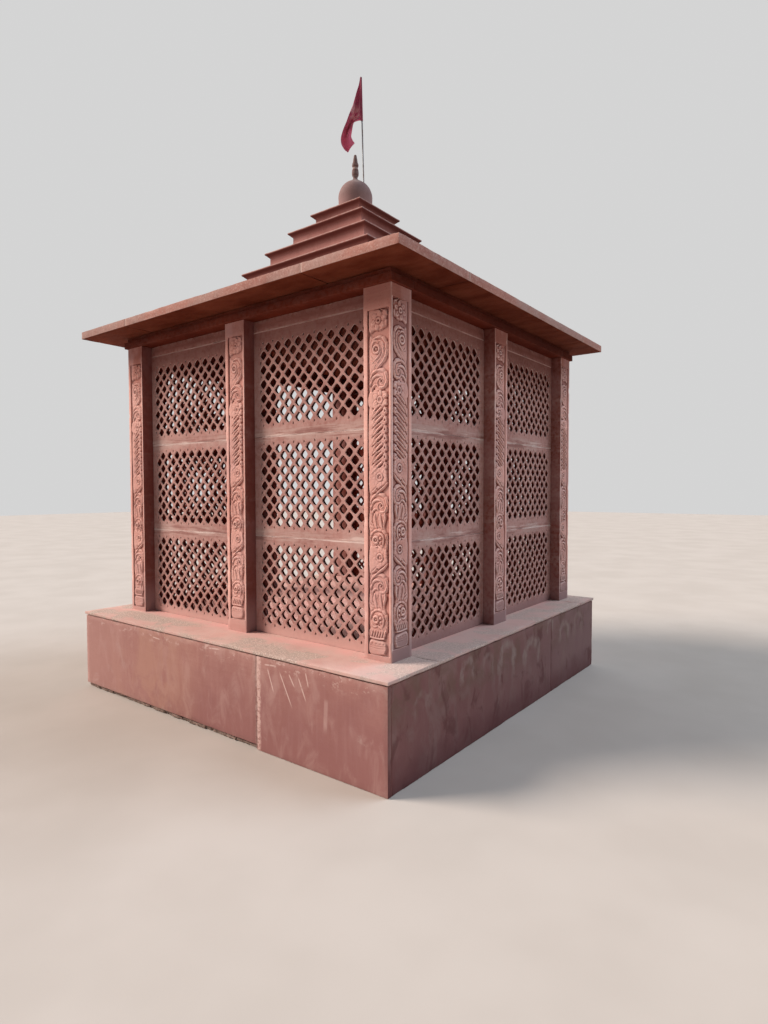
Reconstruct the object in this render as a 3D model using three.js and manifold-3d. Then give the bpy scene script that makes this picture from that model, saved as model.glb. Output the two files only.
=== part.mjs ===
// Pink sandstone shrine: a square screened pavilion on a clad plinth, under a broad
// eave and a stepped pyramid roof with a small dome, a pot finial and a pennant.
// Millimetres, +Z up. The origin is under the middle of the whole outline, at the ground.
// The front looks along -Y and the doorway is in the -X side.

import * as THREE from 'three';
import { mergeVertices } from 'three/addons/utils/BufferGeometryUtils.js';
import Module from 'manifold-3d';

// Driving dimensions of the plinth
const PLINTH_HALF = 1540;
const PLINTH_X = 28;
const PLINTH_Y = -31;
const PLINTH_TOP = 610;
const COPING_THICK = 20;
const COPING_OVERHANG = 8;
const CLADDING_THICK = 30;
const CLADDING_JOINT = 560;
const FOOTING_SHOWS = 30;

// Driving dimensions of the screened walls
const WALL_X = 38;
const WALL_Y = 50;
const WALL_HALF_X = 1345;
const WALL_HALF_Y = 1340;
const PILLAR = 200;
const PILLAR_TOP = 2745;
const PANEL_MARGIN = 30;
const PANEL_DEPTH = 10;
const PANEL_FOOT = 60;
const PANEL_HEAD = 120;

// Driving dimensions of the pierced screens
const SCREEN_RECESS = 87;
const SCREEN_THICK = 30;
const SCREEN_JOINTS = [PLINTH_TOP, 1277, 1955, 2668];
const FIELD_CENTRES = [949, 1627, 2313];
const HOLE_PITCH = 191;
const ROW_PITCH = 97;
const HOLE_HALF = 70;
const WIDE_ROW = 5;
const ROWS = 5;

// Driving dimensions of the beams and the eave
const BEAM_BAND = 50;
const BEAM_PROJECTION = 20;
const EAVE_SOFFIT = 2827;
const EAVE_TOP = 2885;
const EAVE_Y = 29;
const EAVE_HALF_X = 1605;
const EAVE_HALF_Y = 1550;
const EAVE_JOINTS_X = [-946, 909];
const EAVE_JOINTS_Y = [-810, 1095];

// Driving dimensions of the stepped roof
const ROOF_X = 18;
const ROOF_Y = 33;
const TIERS = 6;
const TOP_TIER_HALF = 270;
const TIER_STEP = 135.2;
const TIER_RISE = 180;
const TOP_TIER_RISE = 160;
const ROOF_TOP = 3912;
const LIP_THICK = 15;
const LIP_SLOPE = 27;
const LIP_REACH = 33;

// Driving dimensions of the dome, finial, pole and pennant
const DOME_RADIUS = 145;
const DOME_CENTRE = 4068;
const DOME_FOOT_RADIUS = 140;
const DOME_SEAT = 4205;
const POLE_RADIUS = 6;
const POLE_LENGTH = 1355;
const POLE_SOCKET = 80;
const SOCKET_RADIUS = 6.6;
const POLE_X = -19;
const POLE_Y = 206;
const POLE_LEAN = THREE.MathUtils.degToRad(1.3);
const POLE_HEADING = THREE.MathUtils.degToRad(217.4);
const PENNANT_THICK = 4;
const SEAT_GAP = 0.3;

const wasm = await Module();
wasm.setup();

const stone = { color: 0xb9776a, roughness: 0.85, metalness: 0 };
const plinthStone = { color: 0xa3655c, roughness: 0.88, metalness: 0 };
const copingStone = { color: 0xd3a49a, roughness: 0.85, metalness: 0 };
const concrete = { color: 0x8d867c, roughness: 0.95, metalness: 0 };
const steel = { color: 0x8a8c8e, roughness: 0.45, metalness: 0.8 };
const redCloth = { color: 0xa52a3a, roughness: 0.9, metalness: 0 };

const group = new THREE.Group();

// One named mesh with a material of its own
function piece(name, geometry, finish, parent = group) {
  const mesh = new THREE.Mesh(geometry, new THREE.MeshStandardMaterial(finish));
  mesh.name = name;
  parent.add(mesh);
  return mesh;
}

// A box geometry between two corners
function boxBetween(low, high) {
  const size = high.map((value, axis) => value - low[axis]);
  const geometry = new THREE.BoxGeometry(...size);
  geometry.translate(...high.map((value, axis) => (value + low[axis]) / 2));
  return geometry;
}

// Closed geometry to a solid that can be joined and cut
function toSolid(geometry) {
  const bare = geometry.clone();
  bare.deleteAttribute('normal');
  bare.deleteAttribute('uv');
  const merged = mergeVertices(bare, 1e-4);
  return new wasm.Manifold(new wasm.Mesh({
    numProp: 3,
    vertProperties: new Float32Array(merged.attributes.position.array),
    triVerts: new Uint32Array(merged.index.array),
  }));
}

// The solid back to a geometry
function toGeometry(solid) {
  const mesh = solid.getMesh();
  const geometry = new THREE.BufferGeometry();
  geometry.setAttribute('position', new THREE.BufferAttribute(mesh.vertProperties, 3));
  geometry.setIndex(new THREE.BufferAttribute(mesh.triVerts, 1));
  geometry.computeVertexNormals();
  return geometry;
}

// The four sides: each has its run along the wall and its outward direction
const SIDES = [
  { name: 'front', runsAlongX: true, outward: -1, half: WALL_HALF_Y, run: WALL_HALF_X },
  { name: 'right', runsAlongX: false, outward: 1, half: WALL_HALF_X, run: WALL_HALF_Y },
  { name: 'back', runsAlongX: true, outward: 1, half: WALL_HALF_Y, run: WALL_HALF_X },
  { name: 'left', runsAlongX: false, outward: -1, half: WALL_HALF_X, run: WALL_HALF_Y },
];

// A box on one side: along the wall, outward from the middle, and up
function sideBox(side, along, out, up) {
  const depth = side.outward > 0 ? out : [-out[1], -out[0]];
  const x = side.runsAlongX ? along : depth;
  const y = side.runsAlongX ? depth : along;
  return boxBetween(
    [WALL_X + x[0], WALL_Y + y[0], up[0]],
    [WALL_X + x[1], WALL_Y + y[1], up[1]],
  );
}

// Plinth: masonry core, cladding slabs, coping strips and floor
function buildPlinth() {
  const top = PLINTH_TOP - COPING_THICK;
  const core = PLINTH_HALF - CLADDING_THICK;
  const west = PLINTH_X - PLINTH_HALF;
  const east = PLINTH_X + PLINTH_HALF;
  const south = PLINTH_Y - PLINTH_HALF;
  const north = PLINTH_Y + PLINTH_HALF;
  piece('plinth_core', boxBetween(
    [PLINTH_X - core, PLINTH_Y - core, 0],
    [PLINTH_X + core, PLINTH_Y + core, top],
  ), concrete);

  const inner = { west: west + CLADDING_THICK, east: east - CLADDING_THICK };
  const slabs = [
    ['front_left_cladding', [west, CLADDING_JOINT], [south, south + CLADDING_THICK], FOOTING_SHOWS],
    ['front_right_cladding', [CLADDING_JOINT, east], [south, south + CLADDING_THICK], 0],
    ['back_left_cladding', [west, -CLADDING_JOINT], [north - CLADDING_THICK, north], 0],
    ['back_right_cladding', [-CLADDING_JOINT, east], [north - CLADDING_THICK, north], 0],
    ['right_near_cladding', [inner.east, east], [south + CLADDING_THICK, CLADDING_JOINT], 0],
    ['right_far_cladding', [inner.east, east], [CLADDING_JOINT, north - CLADDING_THICK], 0],
    ['left_near_cladding', [west, inner.west], [south + CLADDING_THICK, -CLADDING_JOINT], 0],
    ['left_far_cladding', [west, inner.west], [-CLADDING_JOINT, north - CLADDING_THICK], 0],
  ];
  for (const [name, x, y, foot] of slabs) {
    piece(name, boxBetween([x[0], y[0], foot], [x[1], y[1], top]), plinthStone);
  }

  const roomX = [WALL_X - WALL_HALF_X + PILLAR, WALL_X + WALL_HALF_X - PILLAR];
  const roomY = [WALL_Y - WALL_HALF_Y + PILLAR, WALL_Y + WALL_HALF_Y - PILLAR];
  const edge = COPING_OVERHANG;
  const strips = [
    ['front_coping', [west - edge, east + edge], [south - edge, roomY[0]]],
    ['back_coping', [west - edge, east + edge], [roomY[1], north + edge]],
    ['left_coping', [west - edge, roomX[0]], roomY],
    ['right_coping', [roomX[1], east + edge], roomY],
  ];
  for (const [name, x, y] of strips) {
    piece(name, boxBetween([x[0], y[0], top], [x[1], y[1], PLINTH_TOP]), copingStone);
  }
  piece('floor_slab', boxBetween([roomX[0], roomY[0], top], [roomX[1], roomY[1], PLINTH_TOP]), copingStone);
}

// A pillar with a sunk panel on each face that looks outward
function pillarSolid(centre, faces) {
  const half = PILLAR / 2;
  let solid = toSolid(boxBetween(
    [centre[0] - half, centre[1] - half, PLINTH_TOP],
    [centre[0] + half, centre[1] + half, PILLAR_TOP],
  ));
  const panel = half - PANEL_MARGIN;
  for (const [fx, fy] of faces) {
    const x = centre[0] + fx * half;
    const y = centre[1] + fy * half;
    const reach = [fx ? PANEL_DEPTH : panel, fy ? PANEL_DEPTH : panel];
    solid = solid.subtract(toSolid(boxBetween(
      [x - reach[0], y - reach[1], PLINTH_TOP + PANEL_FOOT],
      [x + reach[0], y + reach[1], PILLAR_TOP - PANEL_HEAD],
    )));
  }
  return solid;
}

function buildPillars() {
  const dx = WALL_HALF_X - PILLAR / 2;
  const dy = WALL_HALF_Y - PILLAR / 2;
  const places = [
    ['front_left_pillar', -1, -1], ['front_right_pillar', 1, -1],
    ['back_left_pillar', -1, 1], ['back_right_pillar', 1, 1],
    ['front_middle_pillar', 0, -1], ['back_middle_pillar', 0, 1],
    ['left_middle_pillar', -1, 0], ['right_middle_pillar', 1, 0],
  ];
  for (const [name, sx, sy] of places) {
    const faces = [[sx, 0], [0, sy]].filter(([fx, fy]) => fx || fy);
    const centre = [WALL_X + sx * dx, WALL_Y + sy * dy];
    piece(name, toGeometry(pillarSolid(centre, faces)), stone);
  }
}

// Outline of a screen with its staggered diamond holes, across the bay and up
function screenShape(width) {
  const shape = new THREE.Shape([
    new THREE.Vector2(-width / 2, PLINTH_TOP),
    new THREE.Vector2(width / 2, PLINTH_TOP),
    new THREE.Vector2(width / 2, PILLAR_TOP),
    new THREE.Vector2(-width / 2, PILLAR_TOP),
  ]);
  for (const middle of FIELD_CENTRES) {
    for (let row = 0; row < ROWS; row += 1) {
      const count = row % 2 ? WIDE_ROW - 1 : WIDE_ROW;
      const z = middle + (row - (ROWS - 1) / 2) * ROW_PITCH;
      for (let column = 0; column < count; column += 1) {
        const x = (column - (count - 1) / 2) * HOLE_PITCH;
        shape.holes.push(new THREE.Path([
          new THREE.Vector2(x - HOLE_HALF, z),
          new THREE.Vector2(x, z - HOLE_HALF),
          new THREE.Vector2(x + HOLE_HALF, z),
          new THREE.Vector2(x, z + HOLE_HALF),
        ]));
      }
    }
  }
  return shape;
}

// A screen stands in a bay, its outer face set back from the pillar faces
function screenGeometry(side, middle, width) {
  const geometry = new THREE.ExtrudeGeometry(screenShape(width), {
    depth: SCREEN_THICK, bevelEnabled: false, curveSegments: 1,
  });
  geometry.rotateX(Math.PI / 2);
  geometry.translate(0, SCREEN_THICK / 2, 0);
  if (!side.runsAlongX) {
    geometry.rotateZ(Math.PI / 2);
  }
  const out = side.outward * (side.half - SCREEN_RECESS - SCREEN_THICK / 2);
  geometry.translate(
    WALL_X + (side.runsAlongX ? middle : out),
    WALL_Y + (side.runsAlongX ? out : middle),
    0,
  );
  return geometry;
}

// Seven bays have a screen; the far bay of the left side is the doorway
function buildScreens() {
  for (const side of SIDES) {
    const width = side.run - PILLAR - PILLAR / 2;
    for (const end of [-1, 1]) {
      const middle = end * (PILLAR / 2 + width / 2);
      const place = side.runsAlongX ? { '-1': 'left', 1: 'right' } : { '-1': 'near', 1: 'far' };
      const name = `${side.name}_${place[end]}`;
      if (name === 'left_far') {
        const out = [side.half - SCREEN_RECESS - SCREEN_THICK, side.half - SCREEN_RECESS];
        const along = [middle - width / 2, middle + width / 2];
        const up = [SCREEN_JOINTS[3], PILLAR_TOP];
        piece('door_lintel', sideBox(side, along, out, up), stone);
      } else {
        piece(`${name}_screen`, screenGeometry(side, middle, width), stone);
      }
    }
  }
}

// A beam lies on the pillars, its lower band standing proud of them
function buildBeams() {
  const band = [PILLAR_TOP, PILLAR_TOP + BEAM_BAND];
  const cover = [PILLAR_TOP, EAVE_SOFFIT];
  for (const side of SIDES) {
    const inner = side.half - PILLAR;
    const reach = side.runsAlongX ? side.run : side.run - PILLAR;
    const proud = side.runsAlongX ? side.run + BEAM_PROJECTION : reach;
    const bandBox = sideBox(side, [-proud, proud], [inner, side.half + BEAM_PROJECTION], band);
    const coverBox = sideBox(side, [-reach, reach], [inner, side.half], cover);
    piece(`${side.name}_beam`, toGeometry(toSolid(bandBox).add(toSolid(coverBox))), stone);
  }
}

// Eave slabs: four corners, two slabs between them, and two that meet over the room
function buildEave() {
  const x = [-EAVE_HALF_X, ...EAVE_JOINTS_X, EAVE_HALF_X];
  const y = [EAVE_Y - EAVE_HALF_Y, ...EAVE_JOINTS_Y, EAVE_Y + EAVE_HALF_Y];
  const slabs = [
    ['front_left_eave', [x[0], x[1]], [y[0], y[1]]],
    ['front_eave', [x[1], x[2]], [y[0], y[1]]],
    ['front_right_eave', [x[2], x[3]], [y[0], y[1]]],
    ['left_eave', [x[0], 0], [y[1], y[2]]],
    ['right_eave', [0, x[3]], [y[1], y[2]]],
    ['back_left_eave', [x[0], x[1]], [y[2], y[3]]],
    ['back_eave', [x[1], x[2]], [y[2], y[3]]],
    ['back_right_eave', [x[2], x[3]], [y[2], y[3]]],
  ];
  for (const [name, across, deep] of slabs) {
    piece(name, boxBetween([across[0], deep[0], EAVE_SOFFIT], [across[1], deep[1], EAVE_TOP]), stone);
  }
}

// One square tier: an upright riser under a lip whose underside slopes out
function tierGeometry(half, low, high) {
  const riser = half - LIP_REACH;
  const rings = [
    [riser, low],
    [riser, high - LIP_THICK - LIP_SLOPE],
    [half, high - LIP_THICK],
    [half, high],
  ];
  const profile = [new THREE.Vector2(0, low)];
  for (const [reach, z] of rings) {
    profile.push(new THREE.Vector2(reach * Math.SQRT2, z));
  }
  profile.push(new THREE.Vector2(0, high));
  const geometry = new THREE.LatheGeometry(profile, 4, Math.PI / 4);
  geometry.rotateX(Math.PI / 2);
  geometry.translate(ROOF_X, ROOF_Y, 0);
  return geometry;
}

// Stand and lean of the pole, shared by its socket, its rod and its pennant
function poleFrame() {
  const frame = new THREE.Group();
  frame.position.set(POLE_X, POLE_Y, ROOF_TOP - POLE_SOCKET);
  frame.rotation.order = 'ZYX';
  frame.rotation.z = POLE_HEADING;
  frame.rotation.y = POLE_LEAN;
  frame.updateMatrix();
  return frame;
}

function rod(radius, low, high) {
  const geometry = new THREE.CylinderGeometry(radius, radius, high - low, 10);
  geometry.rotateX(Math.PI / 2);
  geometry.translate(0, 0, (low + high) / 2);
  return geometry;
}

function buildRoof() {
  let low = EAVE_TOP;
  for (let tier = 1; tier <= TIERS; tier += 1) {
    const above = TIERS - tier;
    const half = TOP_TIER_HALF + above * TIER_STEP;
    const high = above ? ROOF_TOP - TOP_TIER_RISE - (above - 1) * TIER_RISE : ROOF_TOP;
    let geometry = tierGeometry(half, low, high);
    if (!above) {
      const socket = rod(SOCKET_RADIUS, 0, 2 * POLE_SOCKET);
      socket.applyMatrix4(poleFrame().matrix);
      geometry = toGeometry(toSolid(geometry).subtract(toSolid(socket)));
    }
    piece(`roof_tier_${tier}`, geometry, stone);
    low = high;
  }
}

// Turned pieces: their outlines run from the axis to the axis
function turned(outline, segments) {
  const geometry = new THREE.LatheGeometry(outline, segments);
  geometry.rotateX(Math.PI / 2);
  geometry.translate(ROOF_X, ROOF_Y, 0);
  return geometry;
}

function buildDome() {
  const outline = [
    new THREE.Vector2(0, ROOF_TOP),
    new THREE.Vector2(DOME_FOOT_RADIUS, ROOF_TOP),
  ];
  const end = Math.asin((DOME_SEAT - DOME_CENTRE) / DOME_RADIUS);
  const steps = 10;
  for (let step = 0; step <= steps; step += 1) {
    const angle = (end * step) / steps;
    outline.push(new THREE.Vector2(
      DOME_RADIUS * Math.cos(angle),
      DOME_CENTRE + DOME_RADIUS * Math.sin(angle),
    ));
  }
  outline.push(new THREE.Vector2(0, DOME_SEAT));
  piece('dome', turned(outline, 24), stone);
}

// The finial is a pot on a foot, with a ring and a bud above it
function buildFinial() {
  const outline = [
    [0, 0], [42, 0], [42, 8], [26, 18], [19, 30], [20, 42], [27, 56], [29, 74], [28, 96],
    [21, 116], [19, 124], [25, 132], [28, 146], [25, 158], [20, 168], [16, 190], [11, 212],
    [9, 224], [5, 230], [0, 232],
  ].map(([radius, up]) => new THREE.Vector2(radius, DOME_SEAT + up));
  piece('pot_finial', turned(outline, 16), stone);
}

// Pennant: its outline away from the pole and down from the pole's top
function pennantShape() {
  const hoist = POLE_RADIUS + SEAT_GAP;
  const shape = new THREE.Shape();
  shape.moveTo(hoist, -12);
  shape.lineTo(hoist, -375);
  shape.quadraticCurveTo(70, -370, 82, -440);
  shape.quadraticCurveTo(98, -500, 62, -582);
  shape.lineTo(108, -606);
  shape.lineTo(114, -640);
  shape.quadraticCurveTo(176, -590, 175, -520);
  shape.quadraticCurveTo(172, -460, 138, -396);
  shape.quadraticCurveTo(80, -240, hoist, -12);
  return shape;
}

function buildPoleAndPennant() {
  const frame = poleFrame();
  group.add(frame);
  piece('flagpole', rod(POLE_RADIUS, SEAT_GAP, POLE_LENGTH), steel, frame);
  const cloth = new THREE.ExtrudeGeometry(pennantShape(), {
    depth: PENNANT_THICK, bevelEnabled: false, curveSegments: 5,
  });
  cloth.rotateX(Math.PI / 2);
  cloth.translate(0, PENNANT_THICK / 2, POLE_LENGTH);
  piece('pennant', cloth, redCloth, frame);
}

buildPlinth();
buildPillars();
buildScreens();
buildBeams();
buildEave();
buildRoof();
buildDome();
buildFinial();
buildPoleAndPennant();

export default group;
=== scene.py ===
# Looks of the pink sandstone shrine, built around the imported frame.
# Lengths are in millimetres until a mesh is made, and +Z is up.

import itertools
import math

import bpy
import numpy as np
from mathutils import Euler, Matrix, Vector
from mathutils.geometry import delaunay_2d_cdt


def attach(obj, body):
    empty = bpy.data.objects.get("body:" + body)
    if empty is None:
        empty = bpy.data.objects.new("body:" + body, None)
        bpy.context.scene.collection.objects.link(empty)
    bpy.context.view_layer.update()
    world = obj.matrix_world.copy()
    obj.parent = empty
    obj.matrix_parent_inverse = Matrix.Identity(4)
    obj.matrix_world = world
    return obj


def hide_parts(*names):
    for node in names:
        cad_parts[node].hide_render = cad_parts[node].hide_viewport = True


MM = 0.001
UP = np.array([0.0, 0.0, 1.0])

# Plinth
PLINTH_HALF = 1540
PLINTH_X, PLINTH_Y = 28, -31
PLINTH_TOP = 610
COPING_THICK, COPING_OVERHANG = 20, 8
CLADDING_THICK, CLADDING_JOINT = 30, 560
FOOTING_SHOWS = 30

# Screened walls
WALL_X, WALL_Y = 38, 50
WALL_HALF_X, WALL_HALF_Y = 1345, 1340
PILLAR, PILLAR_TOP, PILLAR_BEVEL = 200, 2745, 4.0
PANEL_HALF, PANEL_SLOPE, PANEL_DEPTH = 70, 16, 10
SCREEN_RECESS, SCREEN_THICK = 87, 30
SCREEN_JOINTS = (610, 1277, 1955, 2668)
FIRST_ROWS = (706, 1380, 2070.5)
LAST_ROWS = (1192.5, 1874.5, 2555)

# Beams and eave
BEAM_BAND, BEAM_PROJECTION = 50, 20
EAVE_SOFFIT, EAVE_TOP = 2827, 2885
EAVE_Y = 29
EAVE_HALF_X, EAVE_HALF_Y = 1605, 1550
EAVE_JOINTS_X = (-946, 909)
EAVE_JOINTS_Y = (-810, 1095)

# Stepped roof, dome and finial
ROOF_X, ROOF_Y = 18, 33
TIERS, TOP_TIER_HALF, TIER_STEP = 6, 270, 135.2
TIER_RISE, TOP_TIER_RISE = 180, 160
ROOF_TOP = 3912
LIP_THICK, LIP_SLOPE, LIP_REACH = 15, 27, 33
DOME_RADIUS, DOME_CENTRE, DOME_FOOT_RADIUS, DOME_SEAT = 145, 4068, 140, 4205
FINIAL_RADIUS, FINIAL_HEIGHT = 42, 232

# Pole and pennant
POLE_RADIUS, POLE_LENGTH, POLE_SOCKET = 6, 1355, 80
POLE_X, POLE_Y = -19, 206
POLE_LEAN, POLE_HEADING = math.radians(1.3), math.radians(217.4)

# Each side: the direction along it, seen from outside, and the direction out of it
SIDES = {
    "front": ((1, 0), (0, -1)), "right": ((0, 1), (1, 0)),
    "back": ((-1, 0), (0, 1)), "left": ((0, -1), (-1, 0)),
}

# How a stone is made: the pitch of its mesh, its bevel, its unevenness and its chips
CLADDING_CUT, MORTAR_CUT = (38, 2.5, 0.5, 3), (14, 1, 0.5, 1.5)
COPING_CUT, LUMP_CUT = (42, 2.5, 0.4, 5), (14, 7, 3, 9)
STRIP_CUT, BEAM_CUT, EAVE_CUT = (45, 2, 0.4, 2), (60, 3, 0.5, 3), (30, 3, 1.0, 2.5)

# Odd numbers that scramble the cells of the noise
SCRAMBLE, SCRAMBLE_AGAIN = (374761393, 668265263, 1442695041), 1274126177

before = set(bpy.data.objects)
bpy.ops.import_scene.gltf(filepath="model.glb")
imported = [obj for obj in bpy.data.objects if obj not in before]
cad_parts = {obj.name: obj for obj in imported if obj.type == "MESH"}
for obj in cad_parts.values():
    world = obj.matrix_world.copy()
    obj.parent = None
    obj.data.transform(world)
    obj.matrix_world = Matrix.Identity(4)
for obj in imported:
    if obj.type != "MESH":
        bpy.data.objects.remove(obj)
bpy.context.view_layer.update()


# Smooth noise from -1 to 1 at points in millimetres, with features of the pitch
def noise_at(points, pitch, seed):
    scaled = np.asarray(points, float) / pitch + seed * 17.31
    base = np.floor(scaled).astype(np.int64)
    part = scaled - base
    part = part * part * (3 - 2 * part)
    total = np.zeros(scaled.shape[:-1])
    for corner in itertools.product((0, 1), repeat=3):
        mixed = ((base + corner) * SCRAMBLE).sum(-1)
        mixed = ((mixed ^ (mixed >> 13)) * SCRAMBLE_AGAIN) & 0xFFFFFFFF
        value = ((mixed ^ (mixed >> 16)) & 0xFFFF) / 32767.5 - 1
        total += np.prod(np.where(corner, part, 1 - part), axis=-1) * value
    return total


def smooth_step(value, low, high):
    share = np.clip((value - low) / (high - low), 0, 1)
    return share * share * (3 - 2 * share)


# A growing mesh: points, faces by their corner count, and one number a point for each mark
class Shape:
    def __init__(self):
        self.points, self.faces, self.count = [], [], 0
        self.marks = {"hollow": [], "wear": []}

    def add(self, points, faces, **marks):
        points = np.asarray(points, float).reshape(-1, 3)
        self.points.append(points)
        self.faces += [np.asarray(group) + self.count for group in faces if len(group)]
        for name, kept in self.marks.items():
            kept.append(np.broadcast_to(np.asarray(marks.get(name, 0.0), float).ravel(), len(points)))
        self.count += len(points)
        return self

    # Makes the mesh and its object, which rides the one body
    def piece(self, name, material, stands_for=(), slot=None, crease=38):
        points = np.concatenate(self.points)
        mesh = bpy.data.meshes.new(name)
        faces = [face for group in self.faces for face in group.tolist()]
        mesh.from_pydata((points * MM).tolist(), [], faces, shade_flat=False)
        mesh.validate()
        mesh.set_sharp_from_angle(angle=math.radians(crease))
        marks = {mark: np.concatenate(values) for mark, values in self.marks.items()}
        for mark, values in {**marks, "inside": painted_room_shade(points)}.items():
            layer = mesh.attributes.new(mark, "FLOAT", "POINT")
            layer.data.foreach_set("value", values.astype(np.float32))
        mesh.materials.append(material)
        piece = linked(name, mesh)
        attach(piece, "root")
        if stands_for:
            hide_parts(*stands_for)
        return piece


# Painted shade inside the room: marks the points within the walls, more strongly higher up, for a deep
# red-brown
def painted_room_shade(points):
    depth = SCREEN_RECESS + SCREEN_THICK - 2
    x, y, z = points.T
    inside = (np.abs(x - WALL_X) < WALL_HALF_X - depth) & (np.abs(y - WALL_Y) < WALL_HALF_Y - depth)
    inside &= (z < EAVE_TOP - 15) & (z > PLINTH_TOP + 1)
    return inside * (0.25 + 0.75 * smooth_step(z, 700, 1700))


# A new object in the scene
def linked(name, data):
    obj = bpy.data.objects.new(name, data)
    bpy.context.scene.collection.objects.link(obj)
    return obj


# Quads of a grid of points; in a closed one the last column joins the first
def grid_quads(rows, columns, closed=False):
    index = np.arange(rows * columns).reshape(rows, columns)
    if closed:
        index = np.concatenate([index, index[:, :1]], axis=1)
    return np.stack([index[:-1, :-1], index[:-1, 1:], index[1:, 1:], index[1:, :-1]], -1).reshape(-1, 4)


# Lines across one axis of a block: two for each rounded edge and even ones between
def block_lines(low, high, pitch, bevel):
    count = max(1, round((high - low - 2 * bevel) / pitch))
    inner = np.linspace(low + bevel, high - bevel, count + 1)
    return np.array([low, low + 0.35 * bevel, *inner, high - 0.35 * bevel, high])


# Points nearer than this are one
SNAP = 0.01


# The skin of a block as points and quads: six grids whose edges are merged
def block_skin(low, high, pitch, bevel):
    lines = [block_lines(low[i], high[i], pitch, bevel) for i in range(3)]
    grids, quads, total = [], [], 0
    for axis, (a, b) in enumerate(((1, 2), (0, 2), (0, 1))):
        for end in (0, -1):
            pa, pb = np.meshgrid(lines[a], lines[b], indexing="ij")
            points = np.empty(pa.shape + (3,))
            points[..., a], points[..., b], points[..., axis] = pa, pb, lines[axis][end]
            step = -1 if (end == 0) == (axis == 1) else 1
            grids.append(points.reshape(-1, 3))
            quads.append(grid_quads(*pa.shape)[:, ::step] + total)
            total += pa.size
    points = np.concatenate(grids)
    keys = np.round(points / SNAP).astype(np.int64)
    _, first, inverse = np.unique(keys, axis=0, return_index=True, return_inverse=True)
    return points[first], inverse.reshape(-1)[np.concatenate(quads)]


# A stone block with rounded, chipped edges and a slightly uneven skin, inside its box
def block(low, high, cut, seed, shape=None):
    pitch, bevel, uneven, chip = cut
    low, high = np.array(low, float), np.array(high, float)
    points, quads = block_skin(low, high, pitch, bevel)
    core = np.clip(points, low + bevel, high - bevel)
    away = points - core
    outward = away / np.maximum(np.linalg.norm(away, axis=1, keepdims=True), 1e-6)
    depth = np.sort(np.minimum(points - low, high - points), axis=1)
    edge = 1 - smooth_step(depth[:, 1], 0, 3.5 * bevel)
    sway = noise_at(points, 210, seed) * 0.5 + noise_at(points, 45, seed + 3) * 0.5
    bites = smooth_step(noise_at(points, 70, seed + 5), 0.30, 0.75) * edge * chip
    fine = smooth_step(noise_at(points, 22, seed + 9), 0.15, 0.7) * edge * chip * 0.35
    moved = core + outward * bevel - outward * (uneven * (1 - sway) + bites + fine)[:, None]
    wear = np.clip(edge * 0.7 + (bites + fine) / max(chip, 0.1), 0, 1)
    return (shape or Shape()).add(np.clip(moved, low, high), [quads], wear=wear)


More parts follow.
